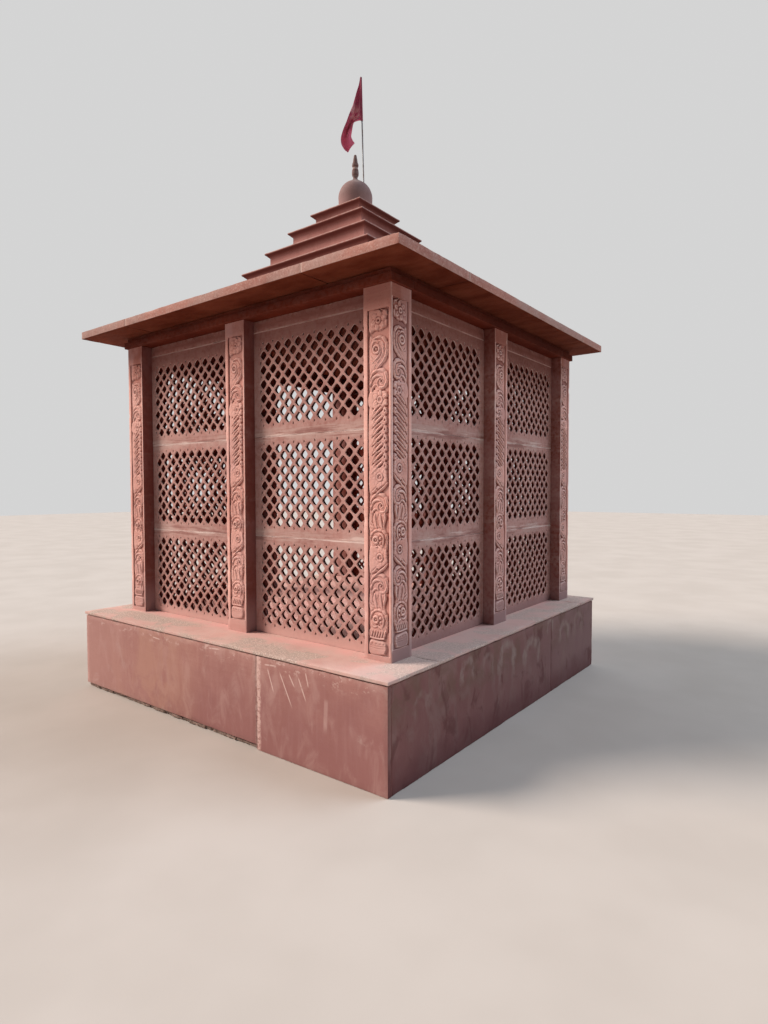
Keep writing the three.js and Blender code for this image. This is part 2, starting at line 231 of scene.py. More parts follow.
# Shader building: every step gives back the socket that carries its result
class Shader:
    def __init__(self, name):
        self.material = bpy.data.materials.new(name)
        self.material.use_nodes = True
        self.tree = self.material.node_tree
        self.surface = self.tree.nodes["Principled BSDF"]
        self.place = self.node("TexCoord").outputs["Object"]
        self.color = None

    # A node with its settings and its inputs
    def node(self, kind, inputs=(), **settings):
        node = self.tree.nodes.new("ShaderNode" + kind)
        for name, setting in settings.items():
            setattr(node, name, setting)
        for name, value in dict(inputs).items():
            self.feed(node.inputs[name], value)
        return node

    def feed(self, socket, value):
        if isinstance(value, bpy.types.NodeSocket):
            self.tree.links.new(value, socket)
        elif isinstance(value, tuple) and len(value) == 3 and len(socket.default_value) == 4:
            socket.default_value = (*value, 1.0)
        else:
            socket.default_value = value

    def math(self, operation, a, b=0.0):
        return self.node("Math", {0: a, 1: b}, operation=operation).outputs[0]

    def times(self, first, *others):
        for other in others:
            first = self.math("MULTIPLY", first, other)
        return first

    def add(self, a, b):
        return self.math("ADD", a, b)

    # The place of a point, stretched and shifted
    def mapped(self, stretch, shift):
        inputs = {"Vector": self.place, "Scale": [1 / s for s in stretch], "Location": shift}
        return self.node("Mapping", inputs).outputs[0]

    def noise(self, size, detail=5, rough=0.6, stretch=(1, 1, 1), warp=0.0, shift=0.0):
        where = self.mapped(stretch, (shift, shift * 1.7, shift * 0.6))
        inputs = {"Scale": 1 / (size * MM), "Detail": detail, "Roughness": rough, "Distortion": warp}
        return self.node("TexNoise", {"Vector": where, **inputs}).outputs["Fac"]

    def span(self, value, low, high, out_low=0.0, out_high=1.0):
        inputs = {"Value": value, "From Min": low, "From Max": high, "To Min": out_low, "To Max": out_high}
        return self.node("MapRange", inputs, interpolation_type="SMOOTHSTEP").outputs["Result"]

    def mix(self, share, a, b, blend="MIX"):
        return self.node("Mix", {0: share, 6: a, 7: b}, data_type="RGBA", blend_type=blend).outputs[2]

    # Lays a colour over what is there
    def paint(self, share, color, blend="MIX"):
        self.color = self.mix(share, self.color, color, blend)

    # Lays a colour in clouds of noise between two levels
    def stain(self, color, share, low, high, *noise, where=None, **more):
        clouds = self.span(self.noise(*noise, **more), low, high, 0.0, share)
        self.paint(self.times(where, clouds) if where else clouds, color)

    def mark(self, name):
        return self.node("Attribute", attribute_name=name).outputs["Fac"]

    def axis(self, name):
        return self.node("SeparateXYZ", {0: self.place}).outputs[name]

    def facing(self, name):
        return self.node("SeparateXYZ", {0: self.node("NewGeometry").outputs["Normal"]}).outputs[name]

    # Which faces look left or right
    def sideways(self):
        return self.span(self.math("ABSOLUTE", self.facing("X")), 0.5, 0.9)

    # A band round one coordinate, in millimetres
    def band(self, coordinate, middle, half, soft):
        away = self.math("ABSOLUTE", self.add(coordinate, -middle * MM))
        return self.span(away, (half - soft) * MM, (half + soft) * MM, 1.0, 0.0)

    # A straight mark between two places, given along two coordinates in millimetres
    def stroke(self, across, up, start, end, half):
        run = np.subtract(end, start) * MM
        length = float(np.hypot(*run))
        u, v = run / length
        du = self.add(across, -start[0] * MM)
        dv = self.add(up, -start[1] * MM)
        along = self.add(self.times(du, u), self.times(dv, v))
        off = self.add(self.times(du, v), self.times(dv, -u))
        line = self.span(self.math("ABSOLUTE", off), 0.4 * half * MM, half * MM, 1.0, 0.0)
        return self.times(line, self.span(along, 0.0, 0.15 * length),
                          self.span(along, 0.7 * length, length, 1.0, 0.0))

    # An upside-down U, given along two coordinates in millimetres
    def arch(self, across, up, middle, half, crown, foot):
        out = self.times(self.add(across, -middle * MM), 1 / (half * MM))
        rise = self.math("MAXIMUM", self.add(up, (half - crown) * MM), 0.0)
        rise = self.times(rise, 1 / (half * MM))
        reach = self.math("SQRT", self.add(self.times(out, out), self.times(rise, rise)))
        ring = self.span(self.math("ABSOLUTE", self.add(reach, -0.78)), 0.06, 0.34, 1.0, 0.0)
        return self.times(ring, self.span(up, foot * MM, (crown - half) * MM))

    # Saw marks, soft dents and grain of the stone, over what comes first
    def stone(self, rough, saw=0.25, dents=0.9, grain=0.30, first=()):
        marks = self.noise(16, 4, stretch=(1, 1, 0.35), shift=6.1)
        return self.finish(rough, [
            *first, (self.noise(60, shift=4.4), dents), (marks, saw), (self.noise(2.6, 2, shift=7.7), grain)])

    # Roughness is a number, a socket or the two ends between which it varies
    def finish(self, rough, bumps):
        if isinstance(rough, tuple):
            rough = self.span(self.noise(35, 4, 0.55, shift=3.3), 0.3, 0.7, *rough)
        settings = {"Base Color": self.color, "Roughness": rough, "Specular IOR Level": 0.08}
        normal = {}
        for height, depth in bumps:
            bump = self.node("Bump", {"Strength": 1.0, "Distance": depth * MM, "Height": height, **normal})
            normal = {"Normal": bump.outputs["Normal"]}
        for name, value in {**settings, **normal}.items():
            self.feed(self.surface.inputs[name], value)
        return self.material


# The common body of every sandstone: broad clouds, bedding, grain, specks and dust, pale worn edges that also
# carry a painted highlight, and painted shade in recesses, inside the room and high on the walls below the
# eave
def sandstone(name, light, middle, deep, dust_and_highlight=(0.66, 0.48, 0.43), grain=0.35, dust=0.5, painted_eave_shade=0.0,
              worn=0.5):
    s = Shader(name)
    s.color = s.mix(s.span(s.noise(620, warp=0.4), 0.36, 0.64), deep, light)
    s.stain(middle, 0.8, 0.30, 0.70, 140, 4, shift=3.1)
    s.stain(deep, 0.30, 0.35, 0.65, 260, 6, 0.7, (1, 1, 0.06), 0.2, 5.3)
    s.paint(s.span(s.noise(5.5, 3, 0.7, shift=1.3), 0.35, 0.70, 0.0, grain), light, "OVERLAY")
    cells = s.node("TexVoronoi", {"Vector": s.mapped((1, 1, 1), (0.7, 0.7, 0.7)), "Scale": 1 / (17 * MM)})
    s.paint(s.span(cells.outputs["Distance"], 0.10, 0.20, 0.35, 0.0), deep, "MULTIPLY")
    s.stain(dust_and_highlight, dust, 0.30, 0.62, 180, 5, 0.65, shift=8.8, where=s.span(s.facing("Z"), 0.35, 0.85))
    # Painted shade: darker where points are marked as lying in shade, in crevices, hole walls, below tier
    # lips and in cloth folds
    s.paint(s.times(s.mark("hollow"), 0.9), (0.36, 0.15, 0.125), "MULTIPLY")
    # Worn edges and chamfers turn pale: partly real, partly a painted highlight where light catches them
    s.stain(dust_and_highlight, worn, 0.30, 0.60, 28, 4, 0.55, shift=2.2, where=s.mark("wear"))
    # Painted shade: the inside of the room turns a deep red-brown
    s.paint(s.times(s.mark("inside"), 0.95), (0.105, 0.016, 0.008))
    # Painted shade of the eave: the walls darken towards their top
    s.paint(s.span(s.axis("Z"), 2.30, 2.72, 0.0, painted_eave_shade), (0.45, 0.28, 0.245), "MULTIPLY")
    return s


def pillar_stone():
    s = sandstone("pillar_stone", (0.80, 0.485, 0.43), (0.74, 0.43, 0.38), (0.57, 0.30, 0.26),
                  (0.84, 0.62, 0.57), dust=0.7, painted_eave_shade=0.85)
    side, z, hollow = s.sideways(), s.axis("Z"), s.mark("hollow")
    s.stain((0.60, 0.37, 0.36), 0.40, 0.46, 0.64, 210, stretch=(1, 1, 2), shift=6.3)
    foot = s.span(z, 0.60, 0.95, 0.35, 0.0)
    s.stain((0.70, 0.49, 0.45), 1.0, 0.4, 0.65, 90, 5, 0.55, shift=9.2, where=foot)
    # Painted shade in the carved crevices of the side faces
    carved = s.times(s.span(hollow, 0.0, 0.62, 0.0, 0.97), s.span(hollow, 0.84, 0.89, 1.0, 0.55))
    s.paint(s.times(side, carved), (0.13, 0.036, 0.032))
    # Painted shade on the plain faces and in the deepest crevices
    s.paint(s.span(hollow, 0.72, 0.90, 0.0, 0.45), (0.16, 0.040, 0.030))
    # Greyer towards the foot, most on the side faces, where it is painted shade
    greyer_foot = s.times(s.span(side, 0.0, 1.0, 0.35, 0.95), s.span(z, 0.66, 0.92, 1.0, 0.0))
    s.paint(greyer_foot, (0.33, 0.215, 0.215))
    # Pale crests and edges on the side faces: worn stone, and a painted highlight
    s.paint(s.times(side, s.mark("wear"), s.span(hollow, 0.0, 0.3, 0.65, 0.0)), (0.95, 0.74, 0.70))
    return s.stone((0.78, 0.95), dents=0.8)


def screen_stone():
    s = sandstone("screen_stone", (0.52, 0.305, 0.275), (0.465, 0.26, 0.235), (0.35, 0.17, 0.15),
                  (0.70, 0.52, 0.48), dust=0.6, painted_eave_shade=0.85, worn=0.75)
    z, hollow = s.axis("Z"), s.mark("hollow")
    streaks = s.noise(85, 6, 0.66, (4, 4, 0.30), 0.2, 2.9)
    swayed = s.add(z, s.times(streaks, 0.014))
    blotches = s.span(s.noise(260, 4, 0.55, shift=8.3), 0.38, 0.58)
    for joint in SCREEN_JOINTS[1:3]:
        for up, middle, half, soft, span, color, *patches in (
            (z, 8, 44, 22, (0.38, 0.56, 0.0, 0.7), (0.52, 0.37, 0.335), blotches),
            (z, 4, 34, 16, (0.38, 0.50, 0.75, 0.0), (0.27, 0.13, 0.115)),
            (z, 12, 20, 8, (0.565, 0.61, 0.0, 0.55), (0.80, 0.65, 0.60)),
            (swayed, 7, 3.5, 2.5, (0.44, 0.54, 0.15, 0.9), (0.84, 0.70, 0.66)),
        ):
            s.paint(s.times(s.band(up, joint + middle, half, soft), s.span(streaks, *span), *patches), color)
    # At the foot the faces to the front and back turn paler and the faces to the sides darker, a painted
    # shade
    foot = s.mix(s.sideways(), (0.66, 0.43, 0.39), (0.33, 0.205, 0.20))
    s.paint(s.span(z, 0.62, 0.72, 0.75, 0.0), foot)
    line = s.times(s.band(z, SCREEN_JOINTS[3] - 1, 4, 2), s.span(streaks, 0.40, 0.52, 0.3, 0.8))
    s.paint(line, (0.66, 0.42, 0.38))
    # Painted shade in the walls of the holes and on the back
    s.paint(s.span(hollow, 0.01, 0.22, 0.0, 0.96), (0.095, 0.012, 0.006))
    # Painted highlight on the rims of the holes, left out high on the wall
    rim = s.times(s.span(s.mark("wear"), 0.45, 0.95), s.span(hollow, 0.0, 0.06, 0.8, 0.0))
    s.paint(s.times(rim, s.span(z, 2.60, 2.64, 1.0, 0.0)), (0.82, 0.62, 0.57))
    return s.stone((0.80, 0.95), dents=0.7)


# The beams are painted dark as the shade below the eave, darkest on their side faces
def beam_stone_in_painted_shade():
    s = sandstone("beam_stone_in_painted_shade", (0.185, 0.034, 0.016), (0.145, 0.024, 0.011), (0.10, 0.015, 0.007),
                  dust=0.2, worn=0.05)
    # Painted shade on the side faces
    s.paint(s.times(s.sideways(), 0.5), (0.055, 0.009, 0.005))
    return s.stone((0.8, 0.95))


def eave_stone():
    s = sandstone("eave_stone", (0.50, 0.27, 0.225), (0.43, 0.23, 0.195), (0.34, 0.17, 0.145),
                  grain=0.5, dust=0.8, worn=0.3)
    s.stain((0.42, 0.30, 0.275), 0.6, 0.40, 0.60, 420, 4, 0.55, shift=6.6)
    s.stain((0.62, 0.45, 0.40), 0.45, 0.50, 0.66, 11, 3, 0.75, shift=1.9)
    s.stain((0.27, 0.13, 0.105), 0.4, 0.52, 0.68, 15, 3, 0.75, shift=4.1)
    ragged = s.span(s.noise(16, 4, 0.7, shift=7.9), 0.34, 0.46, 0.0, 0.9)
    gaps = []
    for axis, other, middle, reach, joints in (
        ("X", "Y", EAVE_Y, EAVE_HALF_Y, EAVE_JOINTS_X), ("Y", "X", 0, EAVE_HALF_X, EAVE_JOINTS_Y),
    ):
        across = s.span(s.math("ABSOLUTE", s.facing(other)), 0.6, 0.9)
        within = s.band(s.axis(other), middle, reach - 9, 3)
        for joint in joints:
            s.paint(s.times(across, s.band(s.axis(axis), joint + 6, 9, 5), ragged), (0.52, 0.37, 0.33))
            gaps.append(s.times(within, s.band(s.axis(axis), joint, 3.5, 1)))
    # Painted shade on the underside of the eave, dark red-brown in grainy patches
    low = s.span(s.axis("Z"), 2.828, 2.831, 1.0, 0.0)
    under = s.math("MAXIMUM", s.span(s.facing("Z"), -0.8, -0.3, 1.0, 0.0), low)
    grainy = s.span(s.noise(150, stretch=(2.2, 1, 1), shift=3.9), 0.30, 0.70)
    s.paint(under, s.mix(grainy, (0.105, 0.018, 0.007), (0.18, 0.044, 0.022)))
    for gap in gaps:
        s.paint(gap, (0.06, 0.012, 0.006))
    return s.stone((0.82, 0.97), dents=1.2, grain=0.5, first=[(s.noise(24, 5, 0.65, shift=5.5), 2.4)])


def roof_stone():
    s = sandstone("roof_stone", (0.53, 0.29, 0.265), (0.48, 0.25, 0.228), (0.36, 0.17, 0.152),
                  (0.52, 0.39, 0.35), dust=0.75, worn=0.85)
    s.stain((0.24, 0.10, 0.08), 0.4, 0.50, 0.72, 90, 5, 0.65, (1, 1, 3), shift=7.4)
    shade = s.add(s.mark("hollow"), s.times(s.noise(70, 4, 0.55, shift=2.8), 0.16))
    s.paint(s.span(shade, 0.18, 1.06, 0.0, 0.94), (0.135, 0.040, 0.033))
    s.paint(s.span(s.facing("Z"), 0.3, 0.8, 0.0, 0.6), (0.33, 0.275, 0.25))
    return s.stone((0.8, 0.95))


def dome_stone():
    s = sandstone("dome_stone", (0.36, 0.265, 0.26), (0.32, 0.23, 0.225), (0.26, 0.17, 0.165),
                  (0.36, 0.31, 0.30), dust=0.9)
    s.paint(s.span(s.axis("Z"), 3.93, 4.10, 0.8, 0.0), (0.37, 0.205, 0.195))
    return s.stone((0.8, 0.95))


# Its necks are dark and the ring between its two bulbs is light
def finial_stone():
    s = sandstone("finial_stone", (0.30, 0.225, 0.215), (0.25, 0.18, 0.175), (0.16, 0.10, 0.095))
    z = s.axis("Z")
    for height, half in ((4232, 5), (4262, 4), (4298, 5), (4333, 5), (4362, 5)):
        s.paint(s.times(s.band(z, height, half, 4), 0.65), (0.13, 0.06, 0.05))
    s.paint(s.times(s.band(z, 4317, 8, 5), 0.6), (0.46, 0.35, 0.32))
    return s.stone(s.span(s.noise(20, 4, 0.55, shift=3.3), 0.3, 0.7, 0.7, 0.9), dents=0.4, saw=0.2)


# Scratches on the front slabs, from one end to the other: along the front and up
SCRATCHES = [
    ((658, 528), (719, 371)), ((762, 524), (876, 312)), ((842, 522), (895, 443)), ((918, 520), (988, 374)),
    ((979, 555), (1004, 464)), ((-563, 536), (-459, 530)), ((87, 556), (216, 566)), ((630, 540), (740, 548)),
]

# Arches wiped on the sides by a cloth: middle, half width, crown, foot and strength
ARCHES = [
    (-750, 95, 560, 360, 0.8), (-480, 75, 535, 330, 0.5), (-212, 130, 565, 200, 1.0),
    (190, 155, 510, 250, 0.9), (530, 70, 585, 450, 0.9), (830, 115, 525, 330, 0.9),
    (1150, 110, 545, 300, 0.5), (-1255, 90, 490, 280, 0.45),
]


def plinth_stone():
    s = sandstone("plinth_stone", (0.455, 0.255, 0.228), (0.41, 0.215, 0.19), (0.36, 0.17, 0.15),
                  grain=0.15, dust=0.6)
    x, y, z = (s.axis(name) for name in "XYZ")
    front, side = s.span(s.facing("Y"), -0.9, -0.6, 1.0, 0.0), s.sideways()

    # Front: mauve towards the lower right, washed and darkened, ochre in the middle and light at the left
    slide = s.add(s.times(x, 0.22), s.times(z, -1.0))
    mauve = s.span(s.add(slide, s.times(s.noise(420, warp=0.5), 0.8)), -0.10, 0.42, 0.0, 0.85)
    s.paint(mauve, (0.295, 0.135, 0.13))
    wash = s.noise(120, 6, 0.6, (1, 1, 2), 0.9, 4.7)
    s.paint(s.span(wash, 0.46, 0.70, 0.0, 0.34), (0.54, 0.36, 0.33))
    s.stain((0.56, 0.38, 0.36), 0.07, 0.50, 0.70, 28, 4, 0.6, (1, 1, 14), 0.15, 2.7)
    s.stain((0.30, 0.135, 0.12), 0.35, 0.50, 0.70, 130, 5, 0.6, (1, 1, 2.4), 0.5, 1.1)
    # Painted shade on the side faces, lifted towards the back
    s.paint(s.times(side, 0.68), (0.168, 0.078, 0.076))
    s.paint(s.times(side, s.span(y, -0.9, 1.5, 0.0, 0.65)), (0.26, 0.168, 0.165))
    s.stain((0.47, 0.265, 0.205), 0.55, 0.40, 0.60, 230, 5, 0.6, (1, 1, 1.5), 0.6, 5.7,
            where=s.times(front, s.band(x, -620, 420, 300)))
    s.paint(s.times(front, s.span(x, -1.5, -0.3, 0.42, 0.0)), (0.52, 0.315, 0.29))

    # Sides: pale, olive and dark blotches, dark near the ground, with wiped arches
    s.stain((0.25, 0.155, 0.143), 0.6, 0.46, 0.66, 150, 5, 0.6, (1, 1, 1.8), 0.8, 9.9, where=side)
    s.stain((0.17, 0.105, 0.080), 0.55, 0.44, 0.60, 230, warp=0.5, shift=6.6,
            where=s.times(side, s.span(z, 0.25, 0.45)))
    s.stain((0.115, 0.046, 0.044), 0.6, 0.54, 0.68, 130, 5, 0.6, (1, 1, 1.8), 0.6, 1.2, where=side)
    low = s.span(s.add(z, s.times(s.noise(200, 4, 0.55, shift=3.8), 0.25)), 0.12, 0.36, 0.7, 0.0)
    s.paint(s.times(side, low), (0.13, 0.050, 0.052))
    sway = s.times(s.add(s.noise(110, 4, shift=8.9), -0.5), 0.16)
    patchy = s.span(s.noise(60, 5, 0.65, (1, 1, 2), shift=2.4), 0.36, 0.60, 0.25, 1.0)
    for *place, share in ARCHES:
        s.paint(s.times(side, s.arch(s.add(y, sway), z, *place), patchy, share), (0.30, 0.215, 0.195))

    # Drips and splashes away from the sides, then cement, a smear and scratches on the front
    plain = s.math("SUBTRACT", 1.0, side)
    s.stain((0.64, 0.47, 0.43), 0.75, 0.56, 0.66, 38, 5, 0.65, (1.6, 1.6, 1), shift=8.1,
            where=s.times(plain, s.span(z, 0.46, 0.585)))
    s.stain((0.52, 0.40, 0.37), 0.30, 0.60, 0.70, 260, 6, 0.7, warp=0.8, shift=0.4, where=plain)
    swayed = s.add(x, s.times(s.noise(75, 6, 0.75, shift=1.8), 0.055))
    s.stain((0.64, 0.45, 0.41), 0.85, 0.36, 0.52, 22, 5, 0.7, shift=6.4,
            where=s.times(front, s.band(swayed, CLADDING_JOINT + 42, 18, 12)))
    s.paint(s.times(front, s.stroke(x, z, (1140, 440), (1128, 225), 20), 0.35), (0.60, 0.42, 0.39))
    broken = s.span(s.noise(30, 4, 0.55, shift=2.6), 0.30, 0.5, 0.2, 0.75)
    for start, end in SCRATCHES:
        s.paint(s.times(front, s.stroke(x, z, start, end, 6), broken), (0.70, 0.52, 0.48))
    return s.stone(s.span(wash, 0.35, 0.65, 0.66, 0.88), saw=0.12, dents=0.5, grain=0.2)


# Rosy near the walls and sandy with crumbs at the outer edge
def coping_stone():
    s = sandstone("coping_stone", (0.72, 0.475, 0.43), (0.66, 0.42, 0.38), (0.56, 0.335, 0.305),
                  (0.70, 0.54, 0.49), grain=0.3)
    x, y = s.axis("X"), s.axis("Y")
    out = s.math("MAXIMUM", s.math("ABSOLUTE", x), s.math("ABSOLUTE", y))
    grey = s.noise(330, 6, 0.62, warp=0.4, shift=2.1)
    sandy = s.times(s.span(grey, 0.44, 0.54, 0.12, 1.0), s.span(out, 1.27, 1.36, 0.3, 1.0))
    s.paint(s.times(sandy, 0.75), (0.56, 0.475, 0.41))
    s.stain((0.33, 0.275, 0.24), 0.7, 0.40, 0.58, 14, 5, 0.8, shift=5.9, where=sandy)
    rosy = s.span(s.noise(200, warp=0.4, shift=7.7), 0.36, 0.60, 0.2, 0.8)
    s.paint(s.times(rosy, s.span(out, 1.26, 1.36, 1.0, 0.15)), (0.76, 0.42, 0.39))
    s.stain((0.86, 0.75, 0.69), 0.95, 0.52, 0.64, 10, 4, 0.75, shift=3.3, where=sandy)
    s.paint(s.span(x, 1.27, 1.36, 0.0, 0.3), (0.48, 0.38, 0.365))
    return s.stone(s.span(grey, 0.3, 0.7, 0.78, 0.97), dents=0.7)


# Grey-brown rubble of the footing, painted darker as the shade of the gap below the front slab
def footing_masonry():
    s = sandstone("footing_masonry", (0.26, 0.19, 0.155), (0.20, 0.14, 0.115), (0.09, 0.06, 0.045))
    s.stain((0.36, 0.28, 0.24), 0.35, 0.4, 0.65, 7, 3, 0.8)
    return s.finish(0.95, [(s.noise(12, 5, 0.7), 4.0), (s.noise(3, 2, 0.55), 0.8)])


def pole_steel():
    s = Shader("pole_steel")
    rust = s.noise(24, 5, 0.7, (1, 1, 3))
    s.color = s.mix(s.span(rust, 0.50, 0.66, 0.0, 0.7), (0.30, 0.30, 0.31), (0.20, 0.11, 0.07))
    s.surface.inputs["Metallic"].default_value = 0.6
    return s.finish(s.span(rust, 0.4, 0.66, 0.42, 0.8), [(s.noise(6, 4, 0.7), 0.3)])


# Deep red above, bleached in the middle and bright pink below
def pennant_cloth():
    s = Shader("pennant_cloth")
    z = s.axis("Z")
    s.color = s.mix(s.span(s.noise(150, 4, warp=0.3), 0.36, 0.60), (0.64, 0.085, 0.18), (0.82, 0.16, 0.28))
    s.paint(s.span(z, 4.72, 4.95, 0.0, 0.7), (0.36, 0.05, 0.12))
    s.stain((0.86, 0.48, 0.51), 0.85, 0.44, 0.58, 70, 4, 0.55, warp=0.5, shift=4.0,
            where=s.band(z, 4890, 60, 50))
    s.paint(s.span(z, 4.62, 4.74, 0.8, 0.0), (0.91, 0.21, 0.34))
    # Painted shade in the folds and on the sleeve
    s.paint(s.times(s.mark("hollow"), 0.85), (0.16, 0.018, 0.045))
    thread = s.node("TexWave", {"Vector": s.place, "Scale": 320, "Distortion": 1.5}).outputs["Fac"]
    s.paint(s.times(thread, 0.15), (0.30, 0.01, 0.03))
    s.surface.inputs["Sheen Weight"].default_value = 0.25
    s.surface.inputs["Sheen Roughness"].default_value = 0.5
    return s.finish(0.78, [(thread, 0.25), (s.noise(18, 3, 0.55), 0.8)])


def floor_paint():
    s = Shader("studio_floor")
    s.color = s.mix(s.span(s.noise(900, 3, 0.55), 0.3, 0.7), (0.49, 0.455, 0.42), (0.53, 0.495, 0.46))
    return s.finish(0.9, [(s.noise(8, 2, 0.55), 0.2)])


# Points of the walls: along a side as seen from outside, out from the middle, and up
def wall_points(side, along, out, up):
    across, outward = SIDES[side]
    along, out, up = np.broadcast_arrays(along, out, up)
    x = WALL_X + across[0] * along + outward[0] * out
    y = WALL_Y + across[1] * along + outward[1] * out
    return np.stack([x, y, np.asarray(up, float)], -1)


# A block of a wall, from its ends along it, out and up
def wall_block(side, along, out, up, cut, seed, shape):
    ends = wall_points(side, along, out, up)
    return block(ends.min(0), ends.max(0), cut, seed, shape)


# How far a wall runs to each side of its middle, and how far it stands out
def wall_reach(side):
    return (WALL_HALF_X, WALL_HALF_Y) if side in ("front", "back") else (WALL_HALF_Y, WALL_HALF_X)


# A smooth line through control points
def curve_through(points, steps=6, closed=False):
    p = np.array(points, float)
    if closed:
        p = np.concatenate([p[-1:], p, p[:2]])
    else:
        p = np.concatenate([[2 * p[0] - p[1]], p, [2 * p[-1] - p[-2]]])
    t = np.linspace(0, 1, steps, endpoint=False)[:, None]
    runs = [0.5 * (2 * b + (c - a) * t + (2 * a - 5 * b + 4 * c - d) * t**2 + (3 * b - a - 3 * c + d) * t**3)
            for a, b, c, d in zip(p[:-3], p[1:-2], p[2:-1], p[3:])]
    return np.concatenate([*runs, [p[-2]]])


# Heights across a rib, from -1 to 1
def round_rib(across):
    return np.sqrt(np.clip(1 - np.abs(across) ** 2.6, 0, 1))


def fluted_rib(across):
    return (0.74 + 0.26 * np.cos(2.0 * np.pi * across + 0.5)) * smooth_step(1 - np.abs(across), 0, 0.30)


def leaf_rib(across):
    vein = 0.78 + 0.22 * smooth_step(np.abs(across), 0.0, 0.4)
    return vein * np.sqrt(np.clip(1 - np.abs(across) ** 3, 0, 1))


# Carved ornament on a sunk panel: masses, ribs and cuts laid on each other in order.
# Places are given from the middle of the panel and from the height at which the carver works.
class Carving:
    def __init__(self):
        self.steps, self.z = [], 0

    def at(self, z):
        self.z = z
        return self

    def line(self, points, widths):
        line = curve_through(points) if len(points) > 2 else np.array(points, float)
        along, given = np.linspace(0, 1, len(line)), np.linspace(0, 1, len(widths))
        return line + [0, self.z], np.interp(along, given, widths)

    # Raised ground inside an outline, with a sloping rim
    def mass(self, outline, level, rim):
        line = curve_through(outline, 5, closed=True) + [0, self.z]
        self.steps.append(("mass", line, np.full(len(line), float(rim)), level, None, 0, 0))

    def rib(self, points, widths, level=9.6, form=round_rib, moat=0.5, lobes=0):
        self.steps.append(("rib", *self.line(points, widths), level, form, moat, lobes))

    def cut(self, points, widths, depth=5.0):
        self.steps.append(("cut", *self.line(points, widths), depth, None, 0, 0))

    def boss(self, u, dz, radius, level=9.4, form=round_rib):
        self.rib([(u, dz), (u + 0.1, dz)], [radius, radius], level, form)

    def pit(self, u, dz, radius, depth=5.0):
        self.cut([(u, dz), (u + 0.1, dz)], [radius, radius], depth)

    def ring(self, u, dz, radius, width, level):
        a = np.linspace(0, 2 * np.pi, 13)
        self.rib(np.stack([u + radius * np.cos(a), dz + radius * np.sin(a)], -1), [width, width], level)

    def petals(self, u, dz, count, near, far, width, level, turn):
        for a in turn + 2 * math.pi * np.arange(count) / count:
            spokes = [(u + r * math.cos(a), dz + r * math.sin(a)) for r in (near, (near + far) / 2, far)]
            self.rib(spokes, [width * 0.5, width, width * 0.7], level, leaf_rib, moat=0.18)

    # The height of the carving at places of the panel. Masses and ribs keep what is higher,
    # ribs lower the ground beside them, and cuts go down from what is there.
    def height(self, u, z):
        found = np.zeros(u.shape)
        for kind, line, widths, level, form, moat, lobes in self.steps:
            reach = widths.max() * 1.6 + 2
            low, high = line.min(0) - reach, line.max(0) + reach
            near = (u > low[0]) & (u < high[0]) & (z > low[1]) & (z < high[1])
            if not near.any():
                continue
            points = np.stack([u[near], z[near]], -1)
            a, run = line[:-1], np.diff(line, axis=0)
            share = ((points[:, None] - a) * run).sum(-1) / np.maximum((run**2).sum(-1), 1e-9)
            share = np.clip(share, 0, 1)
            offset = points[:, None] - a - share[..., None] * run
            away = np.linalg.norm(offset, axis=-1)
            if kind == "mass":
                inside = winding(points, line)
                depth = np.where(inside, away.min(axis=1), 0)
                found[near] = np.maximum(found[near], level * smooth_step(depth, -2, widths[0]) * inside)
                continue
            width = widths[:-1] + share * (widths[1:] - widths[:-1])
            pick = (away / width).argmin(axis=1)
            rows = np.arange(len(points))
            off = offset[rows, pick]
            turn = np.where(run[pick, 0] * off[:, 1] < run[pick, 1] * off[:, 0], -1, 1)
            across = (away / width)[rows, pick] * turn
            if kind == "cut":
                found[near] -= level * (1 - smooth_step(np.abs(across), 0.25, 1.0))
                continue
            if lobes:
                beat = np.abs(np.sin(np.pi * lobes * (pick + share[rows, pick]) / len(a)))
                across = across * (1 + 0.35 * (1 - beat) ** 2)
                level = level * (1 - 0.30 * (1 - beat) ** 3)
            kept = found[near] * (1 - moat * (1 - smooth_step(np.abs(across), 1.0, 1.45)))
            found[near] = np.where(np.abs(across) < 1, np.maximum(kept, level * form(across)), kept)
        return np.clip(found, -1.5, 9.9)


# Which points lie inside a closed line
def winding(points, line):
    x, z = points[:, :1], points[:, 1:]
    a, b = line[:-1], line[1:]
    crosses = (a[:, 1] > z) != (b[:, 1] > z)
    where = a[:, 0] + (z - a[:, 1]) / np.where(b[:, 1] == a[:, 1], 1, b[:, 1] - a[:, 1]) * (b[:, 0] - a[:, 0])
    return (crosses & (x < where)).sum(axis=1) % 2 == 1


# Where the raised ground ends at the flat edge of the panel
EDGE = -63


def carve_cartouche(c):
    c.mass([(EDGE, 64), (-20, 63), (8, 62), (20, 54), (32, 46), (46, 52), (60, 46), (68, 30), (66, 14),
            (60, 4), (68, -8), (69, -26), (60, -42), (44, -48), (30, -56), (14, -64), (-4, -60),
            (-24, -54), (EDGE, -60)], 6.4, 7)
    c.petals(6, -2, 6, 22, 44, 20, 9.6, 0.3)
    c.ring(6, -2, 13, 8, 9.9)
    c.pit(6, -2, 6)
    c.rib([(20, 60), (38, 48), (58, 42), (66, 24)], [4, 7, 7, 4], 8.8)
    c.cut([(2, 68), (16, 58), (30, 48), (44, 50)], [2, 5, 5, 2], 6)
    c.cut([(-10, -54), (6, -58), (24, -56)], [2, 4, 3])


